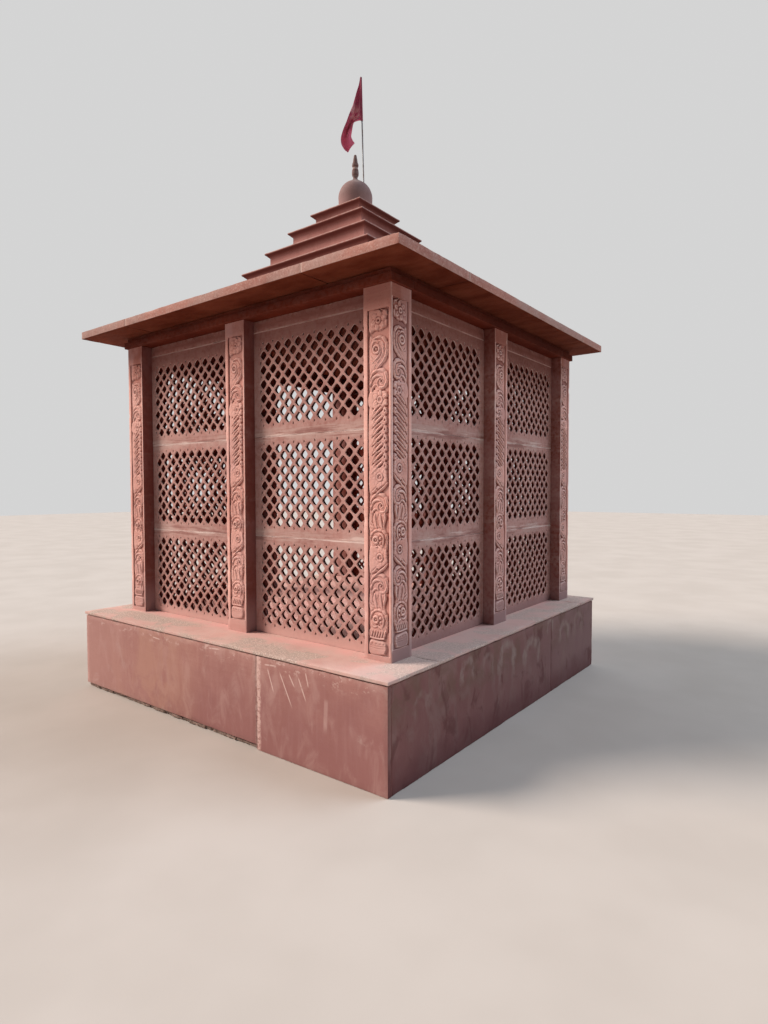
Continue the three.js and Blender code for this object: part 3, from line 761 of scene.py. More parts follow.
def carve_long_scroll(c):
    c.mass([(EDGE, 70), (-30, 68), (0, 72), (30, 70), (54, 50), (64, 20), (64, -20), (54, -50), (30, -78),
            (0, -100), (-30, -122), (EDGE, -130)], 5.2, 8)
    c.rib([(-44, 12), (-40, 40), (-22, 60), (8, 66), (38, 58), (58, 30), (64, -2), (60, -34), (44, -64),
           (18, -88), (-10, -108), (-40, -132)],
          [4, 8, 10, 11, 12, 13, 13, 13, 11, 9, 7, 4], 9.8, fluted_rib, lobes=9)
    c.rib([(0, 44), (22, 42), (38, 22), (41, -6), (32, -36), (10, -62), (-14, -84), (-38, -108)],
          [4, 8, 9, 9, 9, 8, 6, 3], 9.0, fluted_rib, lobes=6)
    c.rib([(6, 22), (20, 6), (18, -18), (4, -40), (-18, -58), (-42, -76)], [3, 6, 7, 7, 6, 3], 8.0)
    c.rib([(-40, 30), (-26, 46), (-6, 46), (6, 34)], [4, 7, 7, 4], 8.4)
    c.ring(-10, 0, 22, 9, 9.6)
    c.boss(-10, 0, 10, 9.6)
    c.pit(-9, -2, 3.5, 4)
    c.rib([(-54, -30), (-44, -50), (-26, -62)], [4, 8, 4], 7.4, leaf_rib)


def carve_right_scroll(c):
    c.mass([(EDGE, 60), (-20, 64), (20, 66), (50, 54), (66, 26), (68, -8), (56, -36), (30, -48), (-4, -60),
            (EDGE, -66)], 4.6, 8)
    c.rib([(-42, -62), (-40, -40), (-26, -24), (-4, -20), (10, -30)], [4, 8, 9, 7, 4], 8.6)
    c.rib([(-54, -26), (-49, -4), (-38, 16), (-16, 30), (10, 31), (28, 22)], [5, 9, 10, 10, 8, 4], 9.0)
    c.rib([(-50, -2), (-50, 26), (-32, 52), (0, 62), (36, 56), (58, 34), (64, 2), (54, -26), (32, -38),
           (8, -32), (-4, -12), (2, 8), (18, 17), (33, 8), (33, -8), (20, -14)],
          [4, 9, 11, 12, 13, 13, 13, 12, 11, 9, 8, 7, 7, 6, 6, 5], 9.8, fluted_rib, lobes=10)
    c.boss(17, 0, 8, 9.6)
    c.pit(24, 0, 4)
    c.pit(-24, -42, 7, 4)


def carve_left_scroll(c):
    c.mass([(EDGE, 62), (-10, 64), (30, 62), (56, 44), (64, 10), (64, -30), (58, -64), (20, -60),
            (EDGE, -60)], 4.6, 8)
    c.rib([(-54, -6), (-52, 22), (-34, 46), (-4, 58), (28, 54), (52, 34), (60, 2), (60, -32), (54, -68)],
          [4, 9, 10, 11, 12, 13, 13, 11, 6], 9.8, fluted_rib, lobes=8)
    c.rib([(6, 34), (24, 32), (38, 14), (38, -12), (30, -38)], [4, 8, 9, 8, 5], 9.0)
    c.ring(-16, 0, 18, 9, 9.6)
    c.boss(-16, 0, 8)
    c.boss(16, 10, 11, 8.8)
    c.boss(16, -16, 10, 8.6)
    c.rib([(-48, -30), (-30, -44), (-8, -38)], [5, 8, 5], 8.2)
    c.rib([(4, -40), (22, -48), (36, -60)], [6, 8, 4], 8.2)
    c.pit(3, -14, 5, 6)
    c.pit(-12, -32, 5)
    c.pit(8, -32, 5)


def carve_leaf(c):
    c.mass([(EDGE, 58), (-20, 60), (30, 58), (58, 52), (60, 24), (54, -2), (48, -26), (54, -54), (20, -56),
            (EDGE, -56)], 6.8, 8)
    c.rib([(-20, 54), (-26, 20), (-18, -14), (-6, -46)], [5, 13, 13, 5], 8.8, leaf_rib)
    c.rib([(16, 52), (14, 20), (20, -12), (32, -44)], [6, 14, 14, 6], 9.2, leaf_rib)
    c.rib([(46, 54), (50, 26), (44, 0), (40, -24)], [6, 10, 8, 4], 9.0)
    for vein in ([(-57, 10), (-46, -6), (-34, -14)], [(-57, -14), (-44, -28), (-30, -34)],
                 [(-57, -38), (-42, -50), (-26, -54)]):
        c.rib(vein, [4, 7, 4], 8.6)


def carve_rosette(c):
    c.mass([(EDGE, 54), (-10, 56), (34, 54), (58, 44), (67, 28), (64, 12), (68, -2), (68, -24), (56, -38),
            (32, -54), (8, -70), (-20, -88), (EDGE, -92)], 7.6, 7)
    c.petals(14, 0, 8, 26, 46, 11, 8.6, 0.2)
    c.ring(14, 0, 20, 7, 9.6)
    c.boss(14, 0, 8, 9.2)
    c.rib([(66, -34), (44, -56), (18, -74), (-6, -92), (-30, -112)], [4, 8, 8, 7, 4])
    c.rib([(-8, -58), (-24, -76), (-44, -88)], [5, 8, 4], 8.6)
    c.cut([(44, -46), (20, -60), (2, -72)], [2, 4, 3])
    c.pit(-4, -68, 6, 6)


def carve_bud(c):
    c.mass([(EDGE, 44), (0, 48), (40, 48), (60, 40), (69, 22), (62, 4), (69, -12), (64, -32), (40, -42),
            (EDGE, -42)], 8.0, 7)
    c.petals(18, -2, 6, 22, 46, 17, 9.4, 0.5)
    c.ring(18, -2, 17, 7, 9.6)
    c.pit(18, -2, 9, 4)
    c.cut([(76, 6), (62, 5), (50, 6)], [8, 6, 1], 8)


# A rope of seven turns, or a braid where two strands cross
def carve_rope(c, braided):
    top, low = ROPE_TOP, ROPE_TOP - ROPE_TURNS * ROPE_PITCH
    c.mass([(EDGE, top + 14), (20, top + 12), (50, top + 8), (54, (top + low) / 2), (50, low + 6), (0, low),
            (EDGE, low)], 7.0, 6)
    for k in range(ROPE_TURNS):
        c.at(top - ROPE_PITCH * k)
        c.boss(49, -16, 19, 8.8, leaf_rib)
        c.rib([(-46, -62), (-28, -46), (-4, -26), (20, -8), (42, -3), (58, -10), (61, -25), (50, -34)],
              [4, 7, 8, 9, 9, 8, 7, 5], 9.9)
        if braided:
            c.rib([(-54, -38), (-36, -20), (-12, -2), (12, 14), (34, 22), (52, 20)], [4, 7, 8, 7, 6, 4], 9.3)
            c.cut([(-26, -50), (0, -32), (24, -12), (48, 4), (64, 10)], [3, 7, 9, 8, 6], 11)
            c.cut([(-36, -30), (-12, -12), (8, 3), (28, 15), (48, 20)], [2, 5, 6, 5, 2], 8)
            c.cut([(-60, -44), (-48, -30), (-36, -20)], [5, 5, 2], 7)
        else:
            c.cut([(-6, -36), (10, -24), (27, -9), (41, 1)], [4, 9, 9, 4], 12)
            c.cut([(-16, -15), (2, 0), (24, 14)], [2, 5, 3], 8)
            c.rib([(-38, -30), (-22, -10), (-2, 10)], [3, 6, 3], 8.9, moat=0.3)
            c.pit(-34, -2, 7, 6)
        c.pit(51, -19, 6, 8)
        c.cut([(80, 14), (66, 9), (52, 12)], [11, 8, 1], 9)


def carve_pot(c):
    c.mass([(EDGE, 100), (10, 100), (52, 96), (46, 78), (42, 54), (38, 42), (EDGE, 42)], 6.0, 6)
    for u in (-46, -28, -10, 8, 26, 44):
        c.rib([(u - 6, 56), (u, 72), (u + 8, 94)], [6, 8, 3], 9.2, leaf_rib)
    c.rib([(-57, 48), (0, 46), (42, 48)], [6, 6, 6], 9.4)
    c.mass([(EDGE, 34), (20, 36), (46, 30), (60, 14), (64, -10), (56, -32), (44, -48), (EDGE, -50)], 8.6, 12)
    for level in (4, -8):
        c.cut([(-57, level), (0, level - 4), (60, level)], [3, 3, 3], 2.4)
    for u in (-40, -12, 16, 40):
        c.pit(u, 16, 5, 4)
    c.rib([(-57, -56), (50, -56)], [5, 5], 8.4)


# The design runs from the pot at the foot to the cartouche at the head
DESIGN_LOW, DESIGN_HIGH = 640, 2611
GRID_COLUMNS, GRID_ROWS = 105, 1315
ROPE_TOP, ROPE_TURNS, ROPE_PITCH = 2056, 7, 51.6
MOTIFS = [(2549, carve_cartouche), (2388, carve_long_scroll), (2208, carve_right_scroll), (2104, carve_bud)]
VINE = [(-256, carve_leaf), (-360, carve_left_scroll), (-162, carve_right_scroll), (0, carve_rosette)]
POT_HEIGHT, VINE_HEIGHTS = 690, (1665, 1205)


def pillar_carving(braided):
    c = Carving()
    for z, carve in MOTIFS:
        carve(c.at(z))
    carve_rope(c.at(0), braided)
    for height in VINE_HEIGHTS:
        for above, carve in VINE:
            carve(c.at(height + above))
    carve_pot(c.at(POT_HEIGHT))
    return c


def soften(field, radius):
    weights = np.exp(-0.5 * (np.arange(-3 * radius, 3 * radius + 1) / radius) ** 2)
    weights /= weights.sum()
    padded = np.pad(field, 3 * radius, mode="edge")
    padded = sum(w * padded[i:i + field.shape[0]] for i, w in enumerate(weights))
    return sum(w * padded[:, i:i + field.shape[1]] for i, w in enumerate(weights))


# The design once, on a fine grid: its relief, its crevices and its crests
def carved_fields(braided):
    u = np.linspace(-PANEL_HALF, PANEL_HALF + PANEL_SLOPE, GRID_COLUMNS)
    z = np.linspace(DESIGN_LOW, DESIGN_HIGH, GRID_ROWS)
    relief = soften(pillar_carving(braided).height(*np.meshgrid(u, z)), 1)
    relief = np.maximum(relief, PANEL_DEPTH * smooth_step(u, PANEL_HALF + 1, PANEL_HALF + PANEL_SLOPE))
    around = soften(relief, 5)
    return np.stack([relief, smooth_step(around - relief, 0.3, 2.6), smooth_step(relief - around, 0.4, 2.2)])


# How much deeper the carving is cut than its drawn heights
CARVING_DEEPENED = 1.45
CARVED = carved_fields(False), carved_fields(True)


# The fields of the design at places of the panel, from 0 to 1 across and up
def carved_at(fields, across, up):
    rows, columns = fields.shape[1:]
    row, column = up * (rows - 1), across * (columns - 1)
    r = np.clip(row.astype(int), 0, rows - 2)
    c = np.clip(column.astype(int), 0, columns - 2)
    fr, fc = np.clip(row - r, 0, 1), np.clip(column - c, 0, 1)
    low = fields[:, r, c] * (1 - fc) + fields[:, r, c + 1] * fc
    high = fields[:, r + 1, c] * (1 - fc) + fields[:, r + 1, c + 1] * fc
    return low * (1 - fr) + high * fr


# Foot and head margins of the carved panel: on a middle pillar, and on the two kinds of corner face
MIDDLE_MARGINS, FRONT_MARGINS, SIDE_MARGINS = (84, 98), (30, 134), (70, 73)

# Width of the strip along each edge of a pillar, and its rows and columns of points, near and far
ARRIS = 3
NEAR_PITCH, FAR_PITCH = 3.4, 4.9
NEAR_COLUMNS, FAR_COLUMNS = 50, 36


def panel_margins(side, corner):
    if not corner:
        return MIDDLE_MARGINS
    return FRONT_MARGINS if side in ("front", "back") else SIDE_MARGINS


# Heights that all four faces of a pillar share
def pillar_rows(corner, pitch):
    marks = [PLINTH_TOP, PLINTH_TOP + ARRIS, PILLAR_TOP - ARRIS, PILLAR_TOP]
    for side in ("front", "right"):
        foot, head = panel_margins(side, corner)
        low, high = PLINTH_TOP + foot, PILLAR_TOP - head
        marks += [low - 1, low, high, high + 1]
    fine = np.arange(min(marks[4:]) - 6, max(marks[4:]) + 8, pitch)
    plain = [*np.linspace(PLINTH_TOP + 12, fine[0] - 8, 3), *np.linspace(fine[-1] + 8, PILLAR_TOP - 12, 4)]
    free = [z for z in [*fine, *plain] if min(abs(z - mark) for mark in marks) > 0.8]
    return np.unique(np.round(marks + free, 2))


# One face of a pillar: its columns and rows, how far each point stands back, its painted shade and its crests
def pillar_face(carved, margins, rows, columns, mirror, seed):
    half = PILLAR / 2
    if not carved:
        u, z = np.meshgrid([-half, -half + ARRIS, half - ARRIS, half], rows)
        # A plain face: flat, and marked for painted shade all over
        return u, z, np.zeros(u.shape), np.full(u.shape, 0.9), np.zeros(u.shape)
    inner = np.linspace(-PANEL_HALF, PANEL_HALF + PANEL_SLOPE, columns)
    across = np.array([-half, -half + ARRIS, -PANEL_HALF - 1, *inner, half - ARRIS, half]) * mirror
    u, z = np.meshgrid(across[::mirror], rows)
    low, high = PLINTH_TOP + margins[0], PILLAR_TOP - margins[1]
    share = (mirror * u + PANEL_HALF) / (2 * PANEL_HALF + PANEL_SLOPE)
    inside = (share > -0.001) & (share < 1.001) & (z >= low - 0.1) & (z <= high + 0.1)
    where = np.stack([u, np.full(u.shape, 50.0 * seed), z], -1)
    sway = noise_at(where, 70, seed) * 0.006 * smooth_step(share, 0, 0.2) * smooth_step(1 - share, 0, 0.2)
    up = (z - low) / (high - low)
    relief, crevice, crest = carved_at(CARVED[mirror < 0], share + sway, up + sway * 0.1)
    relief = relief + (0.3 * noise_at(where, 8, seed) + 0.5 * noise_at(where, 30, seed + 1)) * (relief < 9.5)
    relief = np.clip(relief, -1.5, PANEL_DEPTH)
    sunk = np.where(inside, (PANEL_DEPTH - relief) * CARVING_DEEPENED, 0.0)
    # Painted shade in the crevices and on the deepest ground
    crevice = np.where(inside, np.maximum(crevice, 0.25 * smooth_step(PANEL_DEPTH - relief, 5, 9)), 0.0)
    return u, z, sunk, crevice, np.where(inside, crest * 0.8, 0.0)


# Rounds the upright edges of a pillar and wears them
def pillar_skin(u, z, sunk, middle, across, outward, seed):
    half = PILLAR / 2
    core = np.clip(u, -half + PILLAR_BEVEL, half - PILLAR_BEVEL)
    side = u - core
    length = np.hypot(side, PILLAR_BEVEL)
    sign = np.sign(u)
    arris = middle + across * sign[..., None] * half + outward * half + z[..., None] * UP
    bites, nicks = (noise_at(arris, pitch, seed) for pitch in (55, 17))
    corner = 1 - smooth_step(half - np.abs(u), 0, 14)
    worn = (smooth_step(bites, 0.25, 0.8) * 4 + smooth_step(nicks, 0.3, 0.8)) * corner * 0.6
    along = core + side / length * PILLAR_BEVEL - sign * worn
    out = half - PILLAR_BEVEL + PILLAR_BEVEL * PILLAR_BEVEL / length - sunk - worn
    point = middle + across * along[..., None] + outward * out[..., None] + z[..., None] * UP
    return point, np.clip(corner * (0.6 - 0.35 * abs(outward[0])) + worn / 2, 0, 1)


# A whole pillar. The near corner one is the finest.
def build_pillar(name, sx, sy, material, seed):
    middle = np.array([
        WALL_X + sx * (WALL_HALF_X - PILLAR / 2), WALL_Y + sy * (WALL_HALF_Y - PILLAR / 2), 0.0])
    corner, near = bool(sx and sy), (sx, sy) == (1, -1)
    rows = pillar_rows(corner, NEAR_PITCH if near else FAR_PITCH)
    shape = Shape()
    for side, (across, outward) in SIDES.items():
        carved = bool(outward[0] and outward[0] == sx) or bool(outward[1] and outward[1] == sy)
        mirror = 1 if side in ("front", "back") else -1
        u, z, sunk, crevice, crest = pillar_face(
            carved, panel_margins(side, corner), rows, NEAR_COLUMNS if near else FAR_COLUMNS, mirror, seed)
        points, wear = pillar_skin(
            u, z, sunk, middle, np.array([*across, 0.0]), np.array([*outward, 0.0]), seed)
        # Painted shade in the crevices and on plain faces; pale crests and edges, worn stone and a painted
        # highlight
        shape.add(points, [grid_quads(*u.shape)], hollow=crevice, wear=np.maximum(wear, crest))
    inset = PILLAR / 2 - 2
    for level, order in ((PLINTH_TOP, (0, 3, 2, 1)), (PILLAR_TOP, (0, 1, 2, 3))):
        ring = [(-inset, -inset), (inset, -inset), (inset, inset), (-inset, inset)]
        shape.add([middle + [x, y, level] for x, y in ring], [np.array([order])])
    shape.piece(f"{name}_stone", material, [name], "pillar_stone", crease=50)


def build_pillars(material):
    places = {
        "front_left": (-1, -1), "front_right": (1, -1), "back_left": (-1, 1), "back_right": (1, 1),
        "front_middle": (0, -1), "back_middle": (0, 1), "left_middle": (-1, 0), "right_middle": (1, 0),
    }
    for seed, (name, (sx, sy)) in enumerate(places.items(), 3):
        build_pillar(f"{name}_pillar", sx, sy, material, seed)


# The lattice: its grid, and the outline of one hole, a square on its corner whose sides bulge a little
COLUMN_PITCH = 95.4
HOLE_WIDE, HOLE_TALL, HOLE_BULGE, HOLE_SPLAY = 32.0, 31.6, 1.30, 6.0
HOLE_ROWS, HOLE_COLUMNS = 6, 9
CHAMFER_DEPTH, CHAMFER_REACH = 4.0, 2.6
HALF_HOLE = [(460, -19), (460, 19), (453, 13), (446, 0), (453, -13)]
DOT_SIZES = (11.5, 9.5, 9.5)

# How far the holes of each slab stand off the even grid, along the side and up, from the lowest slab
SLAB_SHIFTS = {
    "front_left": ((-12, -8), (-5, -8), (-18, -13)), "front_right": ((0, 0), (0, -3), (0, 0)),
    "right_near": ((12, 5), (4, 6), (1, 2)), "right_far": ((2, 4), (3, 8), (15, 3)),
}
OTHER_SHIFTS = ((0, 0), (3, -4), (-4, 3))

# How far the slabs stand back, and how much wider the holes are on the sides than on the front
SLAB_SETBACKS, SIDE_WIDENING = (0.0, 0.9, 0.3), 1.6

# How far holes and dots stray, how much holes vary, and how far the dots stand off the last rows
HOLE_STRAY, DOT_STRAY, HOLE_VARIES, DOT_ROW = 0.7, 1.2, 0.025, 37
HOLE_POINTS, DOT_POINTS, DOT_SHAPE = 16, 6, (0.62, 1)

# The screened bays: the side and which end of it
BAYS = {
    "front_left": ("front", -1), "front_right": ("front", 1), "right_near": ("right", -1),
    "right_far": ("right", 1), "back_left": ("back", 1), "back_right": ("back", -1),
    "left_near": ("left", 1),
}


# A round outline, drawn in or bulged by the power
def ring_of(count, power=1.0):
    a = 2 * np.pi * np.arange(count) / count
    return np.stack([np.sign(f) * np.abs(f) ** power for f in (np.cos(a), np.sin(a))], -1)


# All the holes of one slab: outlines on the face, behind the chamfer and on the back
def slab_holes(first_row, last_row, shift, widen, rng):
    rows = np.linspace(first_row, last_row, HOLE_ROWS)
    full = ring_of(HOLE_POINTS, 2 / HOLE_BULGE)
    holes = []
    for i in range(2 * HOLE_ROWS - 1):
        between = i % 2
        z = (rows[i // 2] + rows[i // 2 + between]) / 2
        count = HOLE_COLUMNS + between
        for k in range(count):
            across = (k - (count - 1) / 2) * COLUMN_PITCH
            middle = np.array([across, z]) + shift + rng.normal(0, HOLE_STRAY, 2)
            size = np.array([HOLE_WIDE + widen, HOLE_TALL]) * (1 + rng.normal(0, HOLE_VARIES))
            holes.append([middle + full * wide for wide in (size + CHAMFER_REACH, size, size + HOLE_SPLAY)])
        for end in () if between else (-1, 1):
            half = np.array(HALF_HOLE[::end], float) * [end, 1]
            drawn = half.mean(0) + (half - half.mean(0)) * 0.86
            holes.append([line + [0, z] + shift for line in (half, drawn, drawn)])
    dot = ring_of(DOT_POINTS) * DOT_SHAPE
    for z in (first_row - DOT_ROW, last_row + DOT_ROW):
        for k in range(HOLE_COLUMNS + 1):
            middle = np.array([(k - HOLE_COLUMNS / 2) * COLUMN_PITCH, z]) + rng.normal(0, DOT_STRAY, 2)
            holes.append([middle + shift + dot * radius for radius in DOT_SIZES])
    return holes


# A pierced slab as points (across, depth, up), its triangles and walls
def lattice_slab(width, foot, head, holes):
    gap, edge = 0.15, 1.2
    half = width / 2 - 0.5
    corners = np.array([(-half, foot + gap), (half, foot + gap), (half, head - gap), (-half, head - gap)])
    inset = corners + edge * np.array([(1, 1), (-1, 1), (-1, -1), (1, -1)])
    loops = [[inset, corners, corners], *holes]
    layers = [np.concatenate([loop[k] for loop in loops]) for k in range(3)]
    sizes = [len(loop[0]) for loop in loops]
    starts = np.cumsum([0] + sizes)
    owner = np.repeat(np.arange(len(loops)), sizes)
    edges = [(s + k, s + (k + 1) % n) for s, n in zip(starts, sizes) for k in range(n)]
    _, _, found, ids, _, _ = delaunay_2d_cdt([Vector(p) for p in layers[0]], edges, [], 1, 1e-6)
    triangles = np.array([[ids[v][0] for v in t] for t in found])
    owners = owner[triangles]
    in_hole = (owners[:, 0] == owners[:, 1]) & (owners[:, 1] == owners[:, 2]) & (owners[:, 0] > 0)
    triangles = triangles[~in_hole]
    total = starts[-1]
    depths = (0.0, CHAMFER_DEPTH, SCREEN_THICK)
    points = np.concatenate([np.insert(layer, 1, depth, axis=1) for layer, depth in zip(layers, depths)])
    a, b = np.array(edges).T
    wall = np.stack([b, a, a + total, b + total], -1)
    walls = np.concatenate([wall, wall + total])
    return points, [triangles, triangles[:, ::-1] + 2 * total, walls], total


# The three slabs of a screen, a little behind each other, and the plain stone over them
def build_screen(name, material, seed):
    side, end = BAYS[name]
    run, half = wall_reach(side)
    rng = np.random.default_rng(seed)
    shape = Shape()
    width = run - 1.5 * PILLAR
    middle = end * (PILLAR / 2 + width / 2)
    shifts = SLAB_SHIFTS.get(name, OTHER_SHIFTS)
    widen = SIDE_WIDENING if side in ("left", "right") else 0.0
    for foot, head, first, last, shift, back in zip(
            SCREEN_JOINTS, SCREEN_JOINTS[1:], FIRST_ROWS, LAST_ROWS, shifts, SLAB_SETBACKS):
        points, faces, total = lattice_slab(width, foot, head, slab_holes(first, last, shift, widen, rng))
        depth = SCREEN_RECESS + points[:, 1] + back
        placed = wall_points(side, middle + points[:, 0], half - depth, points[:, 2])
        # Painted shade towards the back of the holes; pale chamfers, worn stone and a painted highlight
        hollow, wear = (np.repeat(shares, total) for shares in ([0.0, 0.0, 1.0], [0.3, 1.0, 0.0]))
        shape.add(placed, faces, hollow=hollow, wear=wear)
    strip(side, end, seed, shape)
    shape.piece(f"{name}_screen_stone", material, [f"{name}_screen"], "screen_stone", crease=30)


# The plain stone over a bay, between the top slab and the beam
def strip(side, end, seed, shape=None):
    run, half = wall_reach(side)
    along, face = [end * PILLAR / 2, end * (run - PILLAR)], half - SCREEN_RECESS
    up = [SCREEN_JOINTS[3] + 0.8, PILLAR_TOP]
    return wall_block(side, along, [face - SCREEN_THICK, face], up, STRIP_CUT, seed, shape)


def build_screens(material):
    for seed, name in enumerate(BAYS, 20):
        build_screen(name, material, seed)
    strip("left", -1, 31).piece("door_lintel_stone", material, ["door_lintel"], "screen_stone")


# Gaps over the front slabs and over the others, half their joints, and the gap at the corners
FRONT_GAPS, OTHER_GAP = (7, 8), 6
FRONT_JOINT, OTHER_JOINT, CORNER_GAP = 4, 3, 2


def build_plinth(stone, coping, masonry):
    low_x, high_x = PLINTH_X - PLINTH_HALF, PLINTH_X + PLINTH_HALF
    low_y, high_y = PLINTH_Y - PLINTH_HALF, PLINTH_Y + PLINTH_HALF
    thick, joint = CLADDING_THICK, CLADDING_JOINT
    top = PLINTH_TOP - COPING_THICK
    near, far = low_y + thick + CORNER_GAP, high_y - thick - CORNER_GAP
    front, back = (low_y, low_y + thick), (high_y - thick, high_y)
    left, right = (low_x, low_x + thick), (high_x - thick, high_x)
    full = (0, top - OTHER_GAP)
    slabs = {
        "front_left": ((low_x, joint - FRONT_JOINT), front, (FOOTING_SHOWS, top - FRONT_GAPS[0])),
        "front_right": ((joint + FRONT_JOINT, high_x), front, (0, top - FRONT_GAPS[1])),
        "back_left": ((low_x, -joint - OTHER_JOINT), back, full),
        "back_right": ((-joint + OTHER_JOINT, high_x), back, full),
        "right_near": (right, (near, joint - OTHER_JOINT), full),
        "right_far": (right, (joint + OTHER_JOINT, far), full),
        "left_near": (left, (near, -joint - OTHER_JOINT), full),
        "left_far": (left, (-joint + OTHER_JOINT, far), full),
    }
    for seed, (name, ranges) in enumerate(slabs.items(), 40):
        shape = block(*zip(*ranges), CLADDING_CUT, seed)
        shape.piece(f"{name}_cladding_slab", stone, [f"{name}_cladding"], "plinth_stone")
    mortar = block((joint - 3.9, low_y + 1.2, 2), (joint + 3.9, low_y + thick, top - 12), MORTAR_CUT, 49)
    mortar.piece("front_joint_mortar", stone, slot="plinth_stone")

    # The top, as strips between lines of a grid: first and last line across, then along
    room_x, room_y = WALL_HALF_X - PILLAR, WALL_HALF_Y - PILLAR
    x = (low_x - COPING_OVERHANG, WALL_X - room_x, WALL_X + room_x, high_x + COPING_OVERHANG)
    y = (low_y - COPING_OVERHANG, WALL_Y - room_y, WALL_Y + room_y, high_y + COPING_OVERHANG)
    strips = {
        "front_coping": (0, 3, 0, 1), "back_coping": (0, 3, 2, 3), "left_coping": (0, 1, 1, 2),
        "right_coping": (2, 3, 1, 2), "floor_slab": (1, 2, 1, 2),
    }
    for seed, (name, (a, b, c, d)) in enumerate(strips.items(), 50):
        shape = block((x[a], y[c], top), (x[b], y[d], PLINTH_TOP), COPING_CUT, seed)
        shape.piece(f"{name}_stone", coping, [name], "coping_stone")
    footing(masonry, low_x, low_y)
    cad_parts["plinth_core"].material_slots[0].material = masonry


# Least and most width of a lump, how far its face stands back, and its step to the next
LUMP_WIDE, LUMP_BACK, LUMP_STEP = (45, 150), (2, 16), 0.92


# Rough lumps of the footing in the strip that the front left slab leaves open
def footing(masonry, low_x, low_y):
    shape = Shape()
    rng = np.random.default_rng(7)
    x = low_x + 4
    while x < CLADDING_JOINT - 70:
        wide = rng.uniform(*LUMP_WIDE)
        deep, tall = rng.uniform(*LUMP_BACK), rng.uniform(20, FOOTING_SHOWS + 2)
        high = (min(x + wide, CLADDING_JOINT), low_y + CLADDING_THICK + 6, tall)
        block((x, low_y + deep, 0), high, LUMP_CUT, int(x) % 97, shape)
        x += wide * LUMP_STEP
    shape.piece("footing_lumps", masonry, slot="footing_masonry")


# Beams with a projecting band at their foot; the front and back ones run past the others
def build_beams(material):
    for seed, side in enumerate(SIDES, 60):
        shape = Shape()
        run, half = wall_reach(side)
        long_side = side in ("front", "back")
        reach = run if long_side else run - PILLAR
        proud = run + BEAM_PROJECTION if long_side else reach
        for along, out, up in (
            (proud, half + BEAM_PROJECTION, (PILLAR_TOP, PILLAR_TOP + BEAM_BAND)),
            (reach, half, (PILLAR_TOP + BEAM_BAND, EAVE_SOFFIT)),
        ):
            wall_block(side, [-along, along], [half - PILLAR, out], up, BEAM_CUT, seed, shape)
        shape.piece(f"{side}_beam_stone_in_painted_shade", material, [f"{side}_beam"], "eave_stone")


def build_eave(material):
    x = (-EAVE_HALF_X, *EAVE_JOINTS_X, EAVE_HALF_X, 0)
    y = (EAVE_Y - EAVE_HALF_Y, *EAVE_JOINTS_Y, EAVE_Y + EAVE_HALF_Y)
    slabs = {
        "front_left": (0, 1, 0), "front": (1, 2, 0), "front_right": (2, 3, 0), "left": (0, 4, 1),
        "right": (4, 3, 1), "back_left": (0, 1, 2), "back": (1, 2, 2), "back_right": (2, 3, 2),
    }
    for seed, (name, (left, right, row)) in enumerate(slabs.items(), 70):
        shape = block((x[left], y[row], EAVE_SOFFIT), (x[right], y[row + 1], EAVE_TOP), EAVE_CUT, seed)
        shape.piece(f"{name}_eave_stone", material, [f"{name}_eave"], "eave_stone", crease=60)


# Shade of a tier from the foot of its riser to the underside of its lip
TIER_SHADE = [0.02, 0.05, 0.34, 0.52, 0.85, 1.0, 0.9, 0.0]
TIER_PITCH, TIER_UNEVEN = 38, 1.5
DOME_SEGMENTS, FINIAL_SEGMENTS, POLE_SEGMENTS = 56, 32, 14


# A square tier from its profile of reach and height, mitred at the corners
def square_turned(profile, seed):
    shape = Shape()
    count = max(6, int(2 * max(reach for reach, _ in profile) / TIER_PITCH))
    along = np.linspace(-1, 1, count + 1)
    for across, outward in SIDES.values():
        across, outward = np.array([*across, 0.0]), np.array([*outward, 0.0])
        points = np.stack([np.array([ROOF_X, ROOF_Y, z]) + outward * reach + across * (along[:, None] * reach)
                           for reach, z in profile])
        sway = noise_at(points, 60, seed)[..., None] * TIER_UNEVEN
        points = points - outward * (TIER_UNEVEN + sway) * (1 - np.abs(along) ** 24)[None, :, None]
        wear, shade = np.zeros(points.shape[:2]), np.zeros(points.shape[:2])
        # Pale lip edges, worn stone and a painted highlight; painted shade from the foot of each riser to
        # below the lip
        wear[7:9] = 0.9
        shade[:8] = np.array(TIER_SHADE)[:, None]
        shape.add(points, [grid_quads(len(profile), count + 1)], wear=wear, hollow=shade)
    return shape


def build_tiers(material):
    low = EAVE_TOP
    for tier in range(1, TIERS + 1):
        above = TIERS - tier
        half = TOP_TIER_HALF + above * TIER_STEP
        high = ROOF_TOP - TOP_TIER_RISE - (above - 1) * TIER_RISE if above else ROOF_TOP
        riser, slope = half - LIP_REACH, high - LIP_THICK
        lip = slope - LIP_SLOPE
        inner = half - TIER_STEP - LIP_REACH - 15 if above else 5
        profile = [
            (riser, low), (riser, lip - 52), (riser, lip), (riser + 9, lip + 8), (half - 12, slope - 8),
            (half - 1, slope), (half, slope + 3), (half, high - 3), (half - 3, high),
            ((half + inner) / 2, high), (inner, high), (5, high)]
        name = f"roof_tier_{tier}"
        shape = square_turned(profile, 80 + tier)
        shape.piece(f"{name}_stone", material, [name], "roof_stone", crease=50)
        low = high


